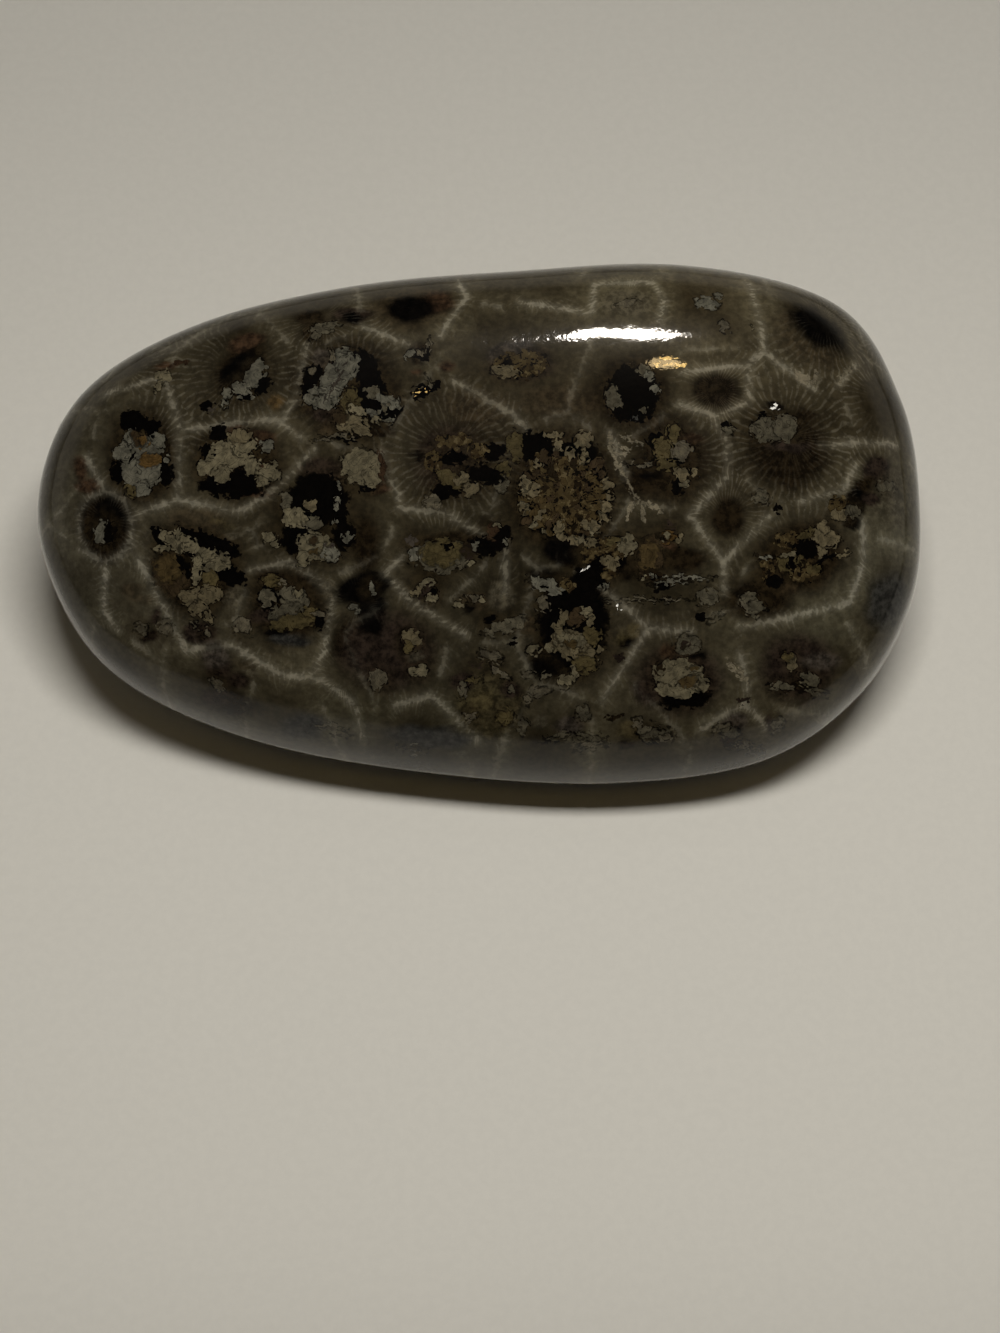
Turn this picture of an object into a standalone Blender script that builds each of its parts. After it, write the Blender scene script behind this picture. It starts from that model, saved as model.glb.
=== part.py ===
"""A polished pebble of fossil colony coral, modelled as one closed solid.

The stone is an egg-shaped lozenge. Its widest line is a closed curve in space that hangs low along the
front edge and rides high along the back. A broad crown leans towards the front above that line, and a
small flat, on which the stone rests, closes the underside. Lengths in this file are millimetres until the
mesh is written, which is in metres. +X runs to the broad end, +Y to the back and +Z up, and the origin is
at the middle of the stone's bounding box, on the resting plane.
"""

import math

import bmesh
import bpy
from mathutils import Vector

MM = 0.001

# The widest line of the stone: x, y and height of points on it, anticlockwise from the broad end.
RIM_POINTS = [
    (30.6, 1.2, 10.2),
    (29.7, 8.6, 10.8),
    (25.6, 15.2, 11.6),
    (15.0, 17.9, 12.0),
    (2.0, 17.4, 12.0),
    (-10.0, 16.2, 12.0),
    (-21.0, 13.4, 11.6),
    (-28.6, 8.6, 11.0),
    (-31.0, 1.2, 10.4),
    (-28.9, -5.7, 9.0),
    (-24.2, -10.5, 7.4),
    (-15.0, -14.0, 5.7),
    (-3.0, -16.0, 5.0),
    (9.0, -16.7, 5.0),
    (19.5, -15.3, 5.7),
    (26.2, -11.1, 7.4),
    (29.8, -5.2, 9.0),
]

# The crown: where its middle is, how its slope rises towards the back, and how full its shoulders are.
CROWN_X = 2.0
CROWN_Y = 1.5
CROWN_HEIGHT = 19.2
CROWN_LEAN = 0.29
CROWN_FULLNESS = 2.8

# The underside: the middle of the resting flat, the flat's share of the stone's plan, and how full the
# curve between the flat and the widest line is.
FLAT_X = 2.0
FLAT_Y = 1.0
FLAT_SHARE = 0.34
BELLY_FULLNESS = 2.1

# How finely the surface is divided.
STATIONS = 96
CROWN_ROWS = 18
BELLY_ROWS = 10

STONE_NAME = "fossil_coral_stone"
STONE_COLOUR = (0.085, 0.073, 0.058, 1.0)
POLISH_ROUGHNESS = 0.14


def clear_scene():
    for thing in list(bpy.data.objects):
        bpy.data.objects.remove(thing, do_unlink=True)


def rim_point(turn):
    """The point on the widest line after a share of one turn, on a smooth closed curve."""
    place = (turn % 1.0) * len(RIM_POINTS)
    first = int(place)
    step = place - first
    before, start, end, after = (
        Vector(RIM_POINTS[(first + offset) % len(RIM_POINTS)]) for offset in (-1, 0, 1, 2)
    )
    straight = (end - before) * step
    bend = (2 * before - 5 * start + 4 * end - after) * step**2
    turn_back = (3 * start - before - 3 * end + after) * step**3
    return (2 * start + straight + bend + turn_back) / 2


def arc(share, fullness):
    """How far out and how far up a full quarter arc has gone, each from 0 to 1."""
    angle = share * math.pi / 2
    across, up = math.cos(angle), math.sin(angle)
    size = (across**fullness + up**fullness) ** (-1 / fullness)
    return across * size, up * size


def crown_point(rim, share):
    """A point above the widest line: share 0 is on that line and 1 is the middle of the crown."""
    out, up = arc(share, CROWN_FULLNESS)
    x = CROWN_X + (rim.x - CROWN_X) * out
    y = CROWN_Y + (rim.y - CROWN_Y) * out
    lean = CROWN_LEAN * (y - CROWN_Y)
    return Vector((x, y, rim.z + (CROWN_HEIGHT - rim.z + lean) * up))


def belly_point(rim, share):
    """A point below the widest line: share 0 is on that line and 1 is the edge of the resting flat."""
    out, down = arc(share, BELLY_FULLNESS)
    reach = FLAT_SHARE + (1 - FLAT_SHARE) * out
    x = FLAT_X + (rim.x - FLAT_X) * reach
    y = FLAT_Y + (rim.y - FLAT_Y) * reach
    return Vector((x, y, rim.z * (1 - down)))


def surface_rings():
    """Rings of points from the edge of the resting flat up to the last ring below the crown's middle."""
    rims = [rim_point(station / STATIONS) for station in range(STATIONS)]
    belly = [[belly_point(rim, row / BELLY_ROWS) for rim in rims] for row in range(BELLY_ROWS, 0, -1)]
    crown = [[crown_point(rim, row / CROWN_ROWS) for rim in rims] for row in range(CROWN_ROWS)]
    return belly + crown


def row_origin(rings):
    """The middle of the stone's bounding box, on the resting plane."""
    xs = [point.x for ring in rings for point in ring]
    ys = [point.y for ring in rings for point in ring]
    return Vector(((min(xs) + max(xs)) / 2, (min(ys) + max(ys)) / 2, 0.0))


def stone_mesh():
    rings = surface_rings()
    origin = row_origin(rings)
    bm = bmesh.new()
    loops = [[bm.verts.new((point - origin) * MM) for point in ring] for ring in rings]
    for lower, upper in zip(loops, loops[1:]):
        for station in range(STATIONS):
            following = (station + 1) % STATIONS
            bm.faces.new((lower[station], lower[following], upper[following], upper[station]))
    summit = bm.verts.new((Vector((CROWN_X, CROWN_Y, CROWN_HEIGHT)) - origin) * MM)
    for station in range(STATIONS):
        bm.faces.new((loops[-1][station], loops[-1][(station + 1) % STATIONS], summit))
    bm.faces.new(list(reversed(loops[0])))
    bmesh.ops.recalc_face_normals(bm, faces=bm.faces)
    mesh = bpy.data.meshes.new(STONE_NAME)
    bm.to_mesh(mesh)
    bm.free()
    return mesh


def polished_stone():
    material = bpy.data.materials.new("polished_fossil_coral")
    material.use_nodes = True
    shader = material.node_tree.nodes["Principled BSDF"]
    shader.inputs["Base Color"].default_value = STONE_COLOUR
    shader.inputs["Roughness"].default_value = POLISH_ROUGHNESS
    shader.inputs["Metallic"].default_value = 0.0
    return material


def build_stone():
    mesh = stone_mesh()
    mesh.materials.append(polished_stone())
    mesh.shade_smooth()
    mesh.set_sharp_from_angle(angle=math.radians(40))
    stone = bpy.data.objects.new(STONE_NAME, mesh)
    bpy.context.scene.collection.objects.link(stone)
    return stone


clear_scene()
build_stone()
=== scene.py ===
"""The dress of a polished pebble of fossil colony coral.

One dense stone stands for the CAD solid. Its coral is a network of cells, and it is worked out by the
material itself: thin pale walls with fine ribs running in from them, a smoky filling, and dark pockets
with broken crystals in the middle of many cells. The places of the cells and crystals that the
photograph shows were given as pixels of its 1000 x 1333 frame, and are carried onto the stone
along the camera's rays. From then on they are fixed to the stone. Lengths are millimetres unless a name
or a comment says otherwise, and +X runs to the broad end, +Y to the back and +Z up.
"""

import math
import random

import bmesh
import bpy
import numpy as np
from mathutils import Euler, Matrix, Vector, noise
from mathutils.bvhtree import BVHTree


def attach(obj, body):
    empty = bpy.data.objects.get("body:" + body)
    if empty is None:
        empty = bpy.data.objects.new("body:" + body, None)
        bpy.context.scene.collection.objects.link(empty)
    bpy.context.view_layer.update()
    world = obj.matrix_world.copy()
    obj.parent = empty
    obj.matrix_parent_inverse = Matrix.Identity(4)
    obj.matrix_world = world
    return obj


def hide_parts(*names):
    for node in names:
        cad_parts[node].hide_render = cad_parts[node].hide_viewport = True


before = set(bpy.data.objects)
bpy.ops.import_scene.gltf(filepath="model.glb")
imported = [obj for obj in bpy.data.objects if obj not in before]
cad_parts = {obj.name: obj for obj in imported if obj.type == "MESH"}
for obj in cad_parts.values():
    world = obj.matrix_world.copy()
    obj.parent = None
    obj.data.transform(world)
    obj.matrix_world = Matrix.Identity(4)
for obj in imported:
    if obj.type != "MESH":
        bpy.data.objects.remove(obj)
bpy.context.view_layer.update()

MM = 0.001
NODE = "fossil_coral_stone"

# ---------------------------------------------------------------------------------------------- camera

FRAME_WIDTH = 1000
FRAME_HEIGHT = 1333
FOCAL_PIXELS = 3002.27
SENSOR = 36.0
EYE = Vector((1.476, -97.957, 196.602))
ELEVATION = 65.0
CAMERA_TURN = Euler((math.radians(90.0 - ELEVATION), 0.0, 0.0))

# ------------------------------------------------------------------------------------------- the form

# The widest line of the stone: x, y and height of points on it, anticlockwise from the broad end.
RIM_POINTS = [
    (30.6, 1.2, 10.2),
    (29.7, 8.6, 10.8),
    (25.6, 15.2, 11.6),
    (15.0, 17.9, 12.0),
    (2.0, 17.4, 12.0),
    (-10.0, 16.2, 12.0),
    (-21.0, 13.4, 11.6),
    (-28.6, 8.6, 11.0),
    (-31.0, 1.2, 10.4),
    (-28.9, -5.7, 9.0),
    (-24.2, -10.5, 7.4),
    (-15.0, -14.0, 5.7),
    (-3.0, -16.0, 5.0),
    (9.0, -16.7, 5.0),
    (19.5, -15.3, 5.7),
    (26.2, -11.1, 7.4),
    (29.8, -5.2, 9.0),
]
CROWN_X = 2.0
CROWN_Y = 1.5
CROWN_HEIGHT = 19.2
CROWN_LEAN = 0.29
CROWN_FULLNESS = 2.8
FLAT_X = 2.0
FLAT_Y = 1.0
FLAT_SHARE = 0.34
BELLY_FULLNESS = 2.1

# How finely the surface is divided.
STATIONS = 512
CROWN_ROWS = 108
BELLY_ROWS = 50
FLAT_ROWS = 14

# ------------------------------------------------------------------------------------ the coral's cells

# The cells run up and down the stone and spread a little towards its top. A plan is x and y, drawn in by
# FAN for each millimetre that a point lies above PLAN_HEIGHT.
PLAN_HEIGHT = 18.0
FAN = 0.006
PIXELS_PER_MM = 14.24

# Spots with an edge at least this soft are stains.
STAIN_FROM = 0.5
# The coral is darker close round the crystals. How far that reaches is in pixels of the photograph.
HALO = 7.0
HALO_COLOUR = (0.016, 0.011, 0.005)
# How many ribs there are round the whole of a cell.
RIBS = 46
# Each face of the mesh keeps this many of the cells and crystals near it, for the material to choose from.
CANDIDATES = 5
LAYERS = 12
# How far noise can move a crystal's edge, how far its lobes, shards and fine fringe swing, and how wide
# the dark outline is, in millimetres.
CRYSTAL_MARGIN = 0.5
LOBE_REACH = (0.42, 0.42, 0.0)
SHARD_REACH = (0.36, 0.36, 0.0)
FRINGE_REACH = (0.3, 0.3, 0.0)
OUTLINE = 0.09
OUTLINE_SHADE = 0.35
# The distance that is kept for corners far from every drawn wall, in millimetres.
FAR_FROM_WALLS = 9.0
# The polish has fine ripples in a slow swell. Both heights are in millimetres.
RIPPLE = 0.006
SWELL = 0.035

# The middle of each cell in the photograph, and how big it is, in pixels.
CELLS = [
    (56, 455, 34), (138, 452, 46), (238, 462, 46), (105, 522, 25), (192, 575, 52), (135, 607, 36),
    (72, 598, 34), (288, 606, 40), (240, 372, 46), (350, 388, 52), (120, 371, 20), (410, 303, 38),
    (318, 318, 28), (325, 512, 58), (450, 452, 52), (562, 492, 56), (522, 352, 52), (632, 388, 42),
    (672, 460, 42), (716, 392, 27), (790, 438, 56), (825, 322, 44), (627, 296, 26), (532, 290, 34),
    (708, 302, 42), (728, 515, 33), (802, 556, 46), (440, 556, 42), (660, 566, 52), (572, 635, 48),
    (682, 676, 44), (390, 650, 44), (362, 600, 28), (488, 692, 42), (485, 605, 34), (805, 668, 46),
    (882, 492, 34), (885, 592, 34), (888, 405, 34), (212, 680, 38), (120, 668, 34), (285, 728, 38),
    (415, 740, 42), (545, 740, 40), (640, 736, 38), (738, 744, 26), (800, 724, 30), (345, 676, 30),
]

# Cells behind the top edge that the camera can't see: plan x, plan y and size in millimetres.
BACK_CELLS = [
    (-27.5, 9.5, 2.4), (-21.8, 13.8, 2.6), (-15.6, 16.6, 2.8), (-9.4, 18.4, 2.8), (-2.6, 19.6, 3.0),
    (4.2, 20.2, 2.8), (10.8, 20.6, 2.8), (17.4, 20.0, 3.0), (24.0, 17.6, 3.0), (29.2, 12.4, 2.8),
]

# ------------------------------------------------------------------------------ colours, as linear light

GROUND_DARK = (0.0165, 0.0124, 0.0064)
GROUND_PALE = (0.069, 0.059, 0.037)
WALL_COLOUR = (0.195, 0.177, 0.134)
PAPER_COLOUR = (0.685, 0.66, 0.60)
KINDS = {
    "black": (0.0014, 0.0010, 0.0007),
    "brown": (0.0095, 0.0062, 0.0028),
    "maroon": (0.017, 0.0115, 0.008),
    "slate": (0.022, 0.021, 0.018),
    "plum": (0.036, 0.029, 0.022),
    "rust": (0.030, 0.017, 0.009),
    "umber": (0.030, 0.020, 0.010),
    "moss": (0.036, 0.029, 0.014),
    "ochre": (0.044, 0.030, 0.012),
    "amber": (0.076, 0.044, 0.014),
    "olive": (0.052, 0.040, 0.017),
    "pale": (0.072, 0.061, 0.040),
    "dove": (0.060, 0.052, 0.034),
    "tan": (0.088, 0.071, 0.040),
    "cream": (0.098, 0.083, 0.050),
    "grey": (0.086, 0.080, 0.059),
    "white": (0.076, 0.070, 0.051),
    "wall": (0.125, 0.106, 0.070),
    "crumbs": (-1.0, -1.0, -1.0),
    # The last two kinds are painted glints, far brighter than any crystal.
    "gold": (0.75, 0.50, 0.18),
    "glint": (0.85, 0.82, 0.75),
}

# Crystals of these kinds have no dark outline, and stains of them cover the coral at full strength.
DARK_KINDS = ("black", "brown", "maroon", "slate", "plum", "rust", "moss")

# Stains, pockets and crystals in the photograph, with a few painted glints and a stain of painted sheen:
# the middle, the half width and half height in pixels, how far it is turned to the left in degrees, what it
# is, and how soft its edge is. Stains lie under all the others, and otherwise each lies over those before
# it.
SPOTS = [
    # the coral darkens between some of the cells
    (195, 520, 30, 14, 0, "umber", 1.2), (232, 702, 30, 12, -15, "brown", 1.3),
    (480, 408, 32, 18, -10, "umber", 1.4), (560, 402, 40, 16, 0, "umber", 1.4),
    (758, 598, 34, 20, 0, "brown", 1.2), (352, 642, 22, 26, 0, "brown", 1.1),
    (365, 545, 16, 34, 0, "brown", 1.3), (640, 480, 20, 20, 0, "brown", 1.4),
    # the narrow end, and the cell with white crystals
    (80, 468, 8, 12, 0, "rust", 0.9), (87, 486, 12, 8, 0, "rust", 0.9),
    (142, 459, 33, 41, 0, "brown", 1.0), (133, 421, 14, 11, 0, "black", 0.15),
    (151, 427, 9, 9, 0, "black", 0.15), (164, 470, 8, 17, 15, "black", 0.3),
    (117, 472, 6, 11, 0, "black", 0.3), (160, 447, 10, 10, 0, "brown", 0.4),
    (139, 452, 22, 16, 10, "white", 0.1), (141, 473, 20, 16, 0, "white", 0.1),
    (121, 452, 9, 7, 20, "white", 0.1), (129, 436, 4, 9, -15, "white", 0.1),
    (157, 438, 8, 6, -30, "grey", 0.1), (143, 489, 8, 6, 0, "grey", 0.1),
    (135, 438, 5, 9, 20, "umber", 0.3), (143, 442, 5, 6, 0, "amber", 0.4),
    (150, 461, 12, 7, 8, "amber", 0.35), (153, 437, 2, 4, 30, "black", 0.2),
    (132, 457, 1.6, 6, -35, "black", 0.2), (167, 460, 3, 4, 0, "grey", 0.2),
    (131, 491, 5, 5, 0, "olive", 0.3),
    # the cell with a cream crystal and a ring beside it
    (238, 460, 44, 34, 0, "brown", 1.0), (219, 433, 10, 8, 30, "black", 0.3),
    (206, 458, 6, 14, 0, "black", 0.3), (230, 487, 34, 9, -4, "black", 0.3),
    (243, 478, 12, 11, 0, "black", 0.3), (234, 472, 8, 7, 0, "rust", 0.5),
    (226, 456, 25, 15, 22, "cream", 0.1), (245, 447, 12, 7, 10, "cream", 0.1),
    (208, 468, 9, 8, 0, "cream", 0.1), (222, 475, 9, 8, 0, "cream", 0.1),
    (240, 436, 11, 8, 0, "tan", 0.15), (234, 428, 8, 4, 0, "rust", 0.5),
    (262, 437, 12, 8, 0, "rust", 0.7), (251, 466, 8, 10, 0, "cream", 0.12),
    (269, 472, 11, 9, -25, "cream", 0.12), (263, 480, 8, 4, -10, "cream", 0.12),
    (262, 468, 3, 2, 0, "rust", 0.4), (266, 447, 6, 5, -20, "grey", 0.15),
    (213, 453, 3, 1.6, 40, "black", 0.2), (255, 494, 16, 4, 0, "rust", 0.8),
    # the smooth dark pocket with a chain of white crystals
    (240, 366, 34, 18, 45, "brown", 0.9), (238, 369, 26, 13, 45, "black", 0.6),
    (262, 385, 10, 8, 45, "black", 0.4), (244, 396, 8, 4, 0, "black", 0.3),
    (246, 342, 20, 7, 20, "rust", 0.9), (255, 373, 14, 8, 55, "white", 0.1),
    (240, 389, 9, 8, 20, "white", 0.1), (226, 395, 4, 5, 0, "white", 0.15),
    (250, 394, 4, 2, -20, "white", 0.15), (224, 404, 2, 4, 0, "grey", 0.2),
    (207, 406, 7, 6, 0, "black", 0.3), (212, 411, 4, 3, 0, "plum", 0.3),
    (276, 402, 8, 7, 0, "amber", 0.8), (163, 376, 8, 7, 0, "cream", 0.3),
    (158, 386, 3, 5, 0, "cream", 0.3), (166, 366, 12, 4, 12, "rust", 0.7),
    (180, 363, 8, 3, 10, "rust", 0.45),
    # the small round cell with a crescent
    (105, 526, 29, 36, 0, "brown", 0.7), (109, 522, 18, 25, 0, "black", 0.8),
    (102, 531, 7, 12, -12, "grey", 0.15), (109, 533, 6, 11, -8, "black", 0.25),
    # the cell with spiky cream crystals and an ochre lens
    (195, 572, 44, 44, 0, "brown", 0.9), (207, 540, 30, 8, -20, "black", 0.2),
    (158, 537, 6, 10, 25, "black", 0.25), (224, 550, 18, 8, -20, "black", 0.3),
    (229, 578, 17, 8, -12, "black", 0.2), (171, 573, 17, 23, 30, "umber", 0.3),
    (168, 568, 13, 15, 25, "ochre", 0.45), (183, 567, 4, 14, 25, "black", 0.2),
    (211, 573, 10, 3, -10, "black", 0.3), (181, 543, 20, 9, -12, "cream", 0.1),
    (205, 555, 24, 9, -20, "cream", 0.1), (223, 562, 10, 8, -30, "cream", 0.12),
    (163, 535, 4, 7, 30, "cream", 0.15), (160, 548, 7, 3, -10, "cream", 0.15),
    (178, 531, 3, 6, 0, "cream", 0.15), (196, 571, 5, 14, -8, "cream", 0.15),
    (217, 567, 14, 5, 0, "cream", 0.12), (190, 555, 6, 2, -10, "black", 0.2),
    (209, 580, 8, 9, 0, "olive", 0.2), (191, 597, 12, 8, -15, "tan", 0.12),
    (210, 595, 12, 9, 0, "tan", 0.12), (198, 609, 10, 7, -20, "tan", 0.15),
    (208, 618, 4, 6, 20, "tan", 0.2), (203, 614, 3, 3, 0, "black", 0.3),
    (200, 633, 18, 12, 0, "maroon", 0.5), (195, 625, 4, 2, 0, "pale", 0.3),
    (206, 633, 4, 4, 0, "pale", 0.3), (222, 523, 13, 5, -15, "olive", 0.6),
    (234, 534, 6, 4, 0, "pale", 0.6),
    # faint stains at the lower left
    (132, 588, 12, 7, 0, "umber", 1.0), (142, 600, 14, 5, -15, "umber", 1.0),
    (150, 637, 10, 6, 25, "maroon", 0.6), (141, 629, 7, 5, 0, "pale", 0.4),
    (165, 628, 8, 7, 0, "pale", 0.4), (157, 617, 5, 8, -10, "maroon", 0.9),
    (218, 668, 13, 11, 0, "maroon", 0.7), (246, 664, 11, 6, 0, "umber", 1.0),
    (238, 681, 12, 8, 0, "maroon", 1.0), (250, 671, 8, 4, 0, "pale", 0.6),
    (218, 684, 4, 10, 40, "pale", 0.4), (217, 699, 14, 8, 0, "maroon", 1.0),
    (304, 725, 22, 13, 0, "slate", 1.0),
    # the cell with a ringed crystal and an olive blade
    (288, 607, 40, 40, 0, "brown", 1.0), (276, 579, 24, 7, -12, "brown", 0.5),
    (302, 586, 14, 8, -35, "brown", 0.6), (268, 597, 11, 13, 0, "black", 0.3),
    (267, 597, 8, 9, 0, "dove", 0.2), (273, 581, 12, 5, -5, "olive", 0.3),
    (284, 581, 4, 3, 0, "pale", 0.3), (293, 598, 15, 9, -15, "dove", 0.2),
    (286, 612, 18, 8, 15, "dove", 0.2), (262, 616, 14, 8, 5, "maroon", 0.5),
    (295, 622, 24, 7, 10, "olive", 0.25), (311, 612, 8, 7, 0, "olive", 0.3),
    (276, 635, 14, 5, -8, "black", 0.6), (290, 641, 20, 5, -5, "slate", 0.9),
    (319, 622, 5, 8, 0, "black", 0.3), (330, 591, 8, 9, 0, "pale", 0.7), (318, 613, 6, 3, 0, "pale", 0.4),
    (243, 627, 9, 8, -10, "pale", 0.3), (297, 594, 4, 4, 0, "cream", 0.3),
    (232, 598, 9, 12, 0, "pale", 0.8),
    # two dark eyes near the top
    (310, 318, 14, 10, 0, "brown", 0.9), (352, 315, 20, 8, 4, "maroon", 0.8),
    (352, 317, 11, 6, 0, "black", 0.6), (308, 335, 8, 8, 0, "brown", 0.9),
    (323, 328, 12, 6, 10, "dove", 0.15), (314, 337, 5, 4, 0, "dove", 0.2),
    (332, 325, 6, 3, 0, "dove", 0.2), (412, 307, 44, 20, 4, "umber", 1.0),
    (437, 302, 16, 11, 0, "rust", 1.0), (411, 309, 27, 14, 0, "black", 0.7),
    # the cell with the long grey crystal
    (345, 385, 50, 46, 0, "brown", 1.0), (322, 358, 11, 10, 0, "plum", 0.5),
    (312, 376, 9, 14, -20, "black", 0.4), (308, 392, 8, 12, 0, "black", 0.3),
    (313, 402, 8, 5, 0, "black", 0.3), (366, 372, 12, 24, 15, "black", 0.2),
    (372, 395, 14, 18, 10, "black", 0.25), (386, 410, 16, 10, 0, "black", 0.3),
    (343, 360, 11, 14, -15, "grey", 0.1), (337, 376, 13, 26, -28, "grey", 0.1),
    (327, 396, 14, 10, -10, "grey", 0.1), (348, 366, 9, 14, -15, "grey", 0.1),
    (322, 404, 10, 7, 0, "grey", 0.12), (315, 390, 8, 3, -5, "grey", 0.2),
    (310, 399, 7, 6, 20, "white", 0.15), (331, 356, 2, 6, 15, "pale", 0.2),
    (313, 370, 3, 4, 0, "pale", 0.3), (337, 380, 1.3, 26, -28, "plum", 0.45),
    (350, 402, 10, 11, 0, "olive", 0.25), (353, 393, 5, 6, 0, "olive", 0.3),
    (325, 415, 14, 8, -10, "maroon", 0.6), (352, 424, 18, 8, -8, "tan", 0.15),
    (361, 431, 10, 5, -10, "tan", 0.15), (340, 418, 8, 5, 0, "umber", 0.4),
    (330, 430, 12, 8, 0, "umber", 0.9), (373, 393, 8, 7, -10, "dove", 0.12),
    (385, 401, 8, 6, -10, "grey", 0.12), (395, 405, 7, 4, 50, "grey", 0.15),
    (373, 412, 6, 5, -30, "grey", 0.15), (383, 409, 5, 5, 0, "dove", 0.15),
    (376, 420, 6, 3, -20, "cream", 0.15), (388, 420, 6, 3, 10, "grey", 0.15),
    (357, 411, 10, 5, -25, "cream", 0.2), (380, 432, 14, 6, 10, "brown", 0.5),
    (371, 408, 4, 3, 0, "black", 0.3), (340, 436, 14, 1.5, -3, "pale", 0.45),
    (346, 439, 10, 2, -3, "black", 0.45), (325, 440, 9, 1.3, 0, "pale", 0.45),
    # specks between the upper cells
    (419, 353, 11, 10, 0, "brown", 0.5), (420, 353, 5, 6, 0, "black", 0.3),
    (411, 355, 4, 4, 0, "grey", 0.2), (421, 351, 2.5, 4, 20, "pale", 0.3),
    (428, 346, 2, 6, -10, "pale", 0.3), (426, 358, 5, 3, 20, "black", 0.3),
    (418, 372, 7, 4, 0, "rust", 0.9), (448, 365, 7, 4, 0, "rust", 0.8),
    (424, 391, 12, 7, 22, "black", 0.4), (437, 384, 5, 3, 0, "black", 0.4),
    # the gold speck on the next line is a painted glint
    (421, 392, 6, 1.2, 10, "gold", 0.4), (430, 383, 6, 1.5, -60, "pale", 0.3),
    # the gold cluster below the highlight, and the black pocket beside it
    (521, 364, 32, 17, 5, "maroon", 0.8), (510, 349, 24, 8, 18, "plum", 0.6),
    (520, 364, 28, 13, 5, "crumbs", 0.15), (506, 371, 15, 6, -5, "tan", 0.3),
    (505, 364, 4, 3, 0, "black", 0.3), (633, 394, 34, 34, 0, "brown", 0.9),
    (632, 394, 27, 29, 15, "black", 0.15), (614, 398, 8, 12, 20, "dove", 0.1),
    (643, 371, 7, 5, -35, "dove", 0.12), (649, 376, 5, 5, 0, "grey", 0.12),
    (655, 389, 5, 5, -30, "grey", 0.15), (645, 412, 4, 3, 20, "dove", 0.15),
    (634, 418, 3, 4, 0, "slate", 0.15), (652, 424, 10, 6, 0, "umber", 1.0),
    (657, 436, 6, 4, 0, "black", 0.4), (627, 302, 26, 13, 0, "pale", 0.8),
    (626, 303, 10, 3, 15, "pale", 0.45), (707, 304, 12, 6, -12, "grey", 0.3),
    (717, 296, 5, 3, 0, "white", 0.3), (724, 327, 4, 6, 30, "pale", 0.4),
    # the four small gold specks that follow are painted flecks of the warm lamp's highlight
    (751, 325, 2, 2, 0, "cream", 0.4), (656, 362, 5, 2.0, 8, "gold", 0.45),
    (668, 359, 8, 2.2, 0, "gold", 0.45), (681, 364, 5, 2, -15, "gold", 0.45),
    (672, 366, 7, 1.4, 0, "gold", 0.45), (716, 391, 25, 18, 0, "brown", 1.0),
    # the pale crystals at the head of the fan
    (672, 460, 36, 42, 0, "brown", 1.0), (652, 475, 14, 5, 0, "black", 0.6),
    (653, 441, 7, 6, 0, "black", 0.4), (678, 487, 7, 9, 0, "black", 0.3),
    (690, 440, 9, 6, 0, "rust", 0.6), (673, 432, 6, 10, 0, "olive", 0.15),
    (663, 448, 10, 10, 0, "olive", 0.12), (681, 451, 11, 10, 0, "pale", 0.12),
    (667, 464, 12, 7, -10, "olive", 0.15), (681, 474, 5, 9, 15, "tan", 0.12),
    (684, 486, 5, 3, 0, "cream", 0.2), (676, 461, 8, 1.6, -15, "black", 0.3),
    (692, 473, 4, 4, 0, "tan", 0.3), (611, 443, 2.5, 12, 5, "wall", 0.45),
    (618, 465, 2.5, 13, 30, "wall", 0.45), (622, 446, 10, 1.6, -25, "wall", 0.45),
    (621, 453, 8, 2.2, 0, "wall", 0.45), (631, 441, 12, 1.6, -30, "wall", 0.45),
    (640, 464, 12, 1.6, 0, "pale", 0.45), (632, 490, 2.2, 11, 30, "wall", 0.45),
    (630, 509, 11, 2.2, 56, "wall", 0.45), (651, 505, 14, 2.5, -25, "wall", 0.45),
    (641, 512, 1.8, 11, 12, "wall", 0.45),
    # the great rosette
    (563, 488, 50, 54, 0, "brown", 0.8), (536, 446, 18, 15, 0, "black", 0.3),
    (575, 452, 24, 12, 0, "black", 0.3), (566, 497, 45, 47, 0, "black", 0.35),
    (566, 496, 42, 40, 0, "crumbs", 0.12), (537, 464, 6, 10, 0, "crumbs", 0.2),
    (534, 525, 6, 5, 0, "cream", 0.2), (546, 533, 6, 4, 0, "cream", 0.2),
    (562, 537, 5, 4, 0, "cream", 0.2), (577, 538, 6, 5, 0, "cream", 0.2),
    (593, 529, 6, 6, 0, "cream", 0.2), (603, 516, 5, 6, 0, "cream", 0.2), (605, 482, 4, 6, 0, "tan", 0.2),
    (524, 506, 5, 4, 0, "cream", 0.2), (524, 488, 6, 4, 0, "cream", 0.2), (585, 457, 4, 9, 0, "tan", 0.2),
    (552, 436, 9, 4, 0, "tan", 0.2), (584, 440, 8, 8, 0, "tan", 0.2), (560, 447, 4, 5, 0, "tan", 0.2),
    (515, 446, 8, 14, 0, "olive", 0.2), (501, 484, 7, 10, 0, "dove", 0.15),
    (504, 469, 6, 7, 0, "olive", 0.2),
    # the crumb ring left of it
    (452, 460, 34, 34, 0, "maroon", 0.9), (485, 474, 20, 9, -5, "black", 0.3),
    (493, 452, 14, 8, 0, "black", 0.3), (418, 456, 8, 6, 0, "black", 0.5),
    (446, 491, 14, 7, 0, "black", 0.35), (455, 440, 18, 7, 0, "crumbs", 0.2),
    (433, 462, 8, 12, 0, "crumbs", 0.2), (449, 479, 15, 8, -25, "olive", 0.2),
    (470, 488, 9, 7, 0, "tan", 0.2), (478, 452, 10, 9, 0, "crumbs", 0.2),
    (453, 457, 13, 8, 0, "black", 0.3), (433, 500, 8, 6, 0, "pale", 0.4), (462, 479, 6, 5, 0, "tan", 0.2),
    # the olive oval and what lies round it
    (457, 541, 36, 9, 0, "brown", 0.6), (487, 546, 20, 9, 0, "black", 0.35),
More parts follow.
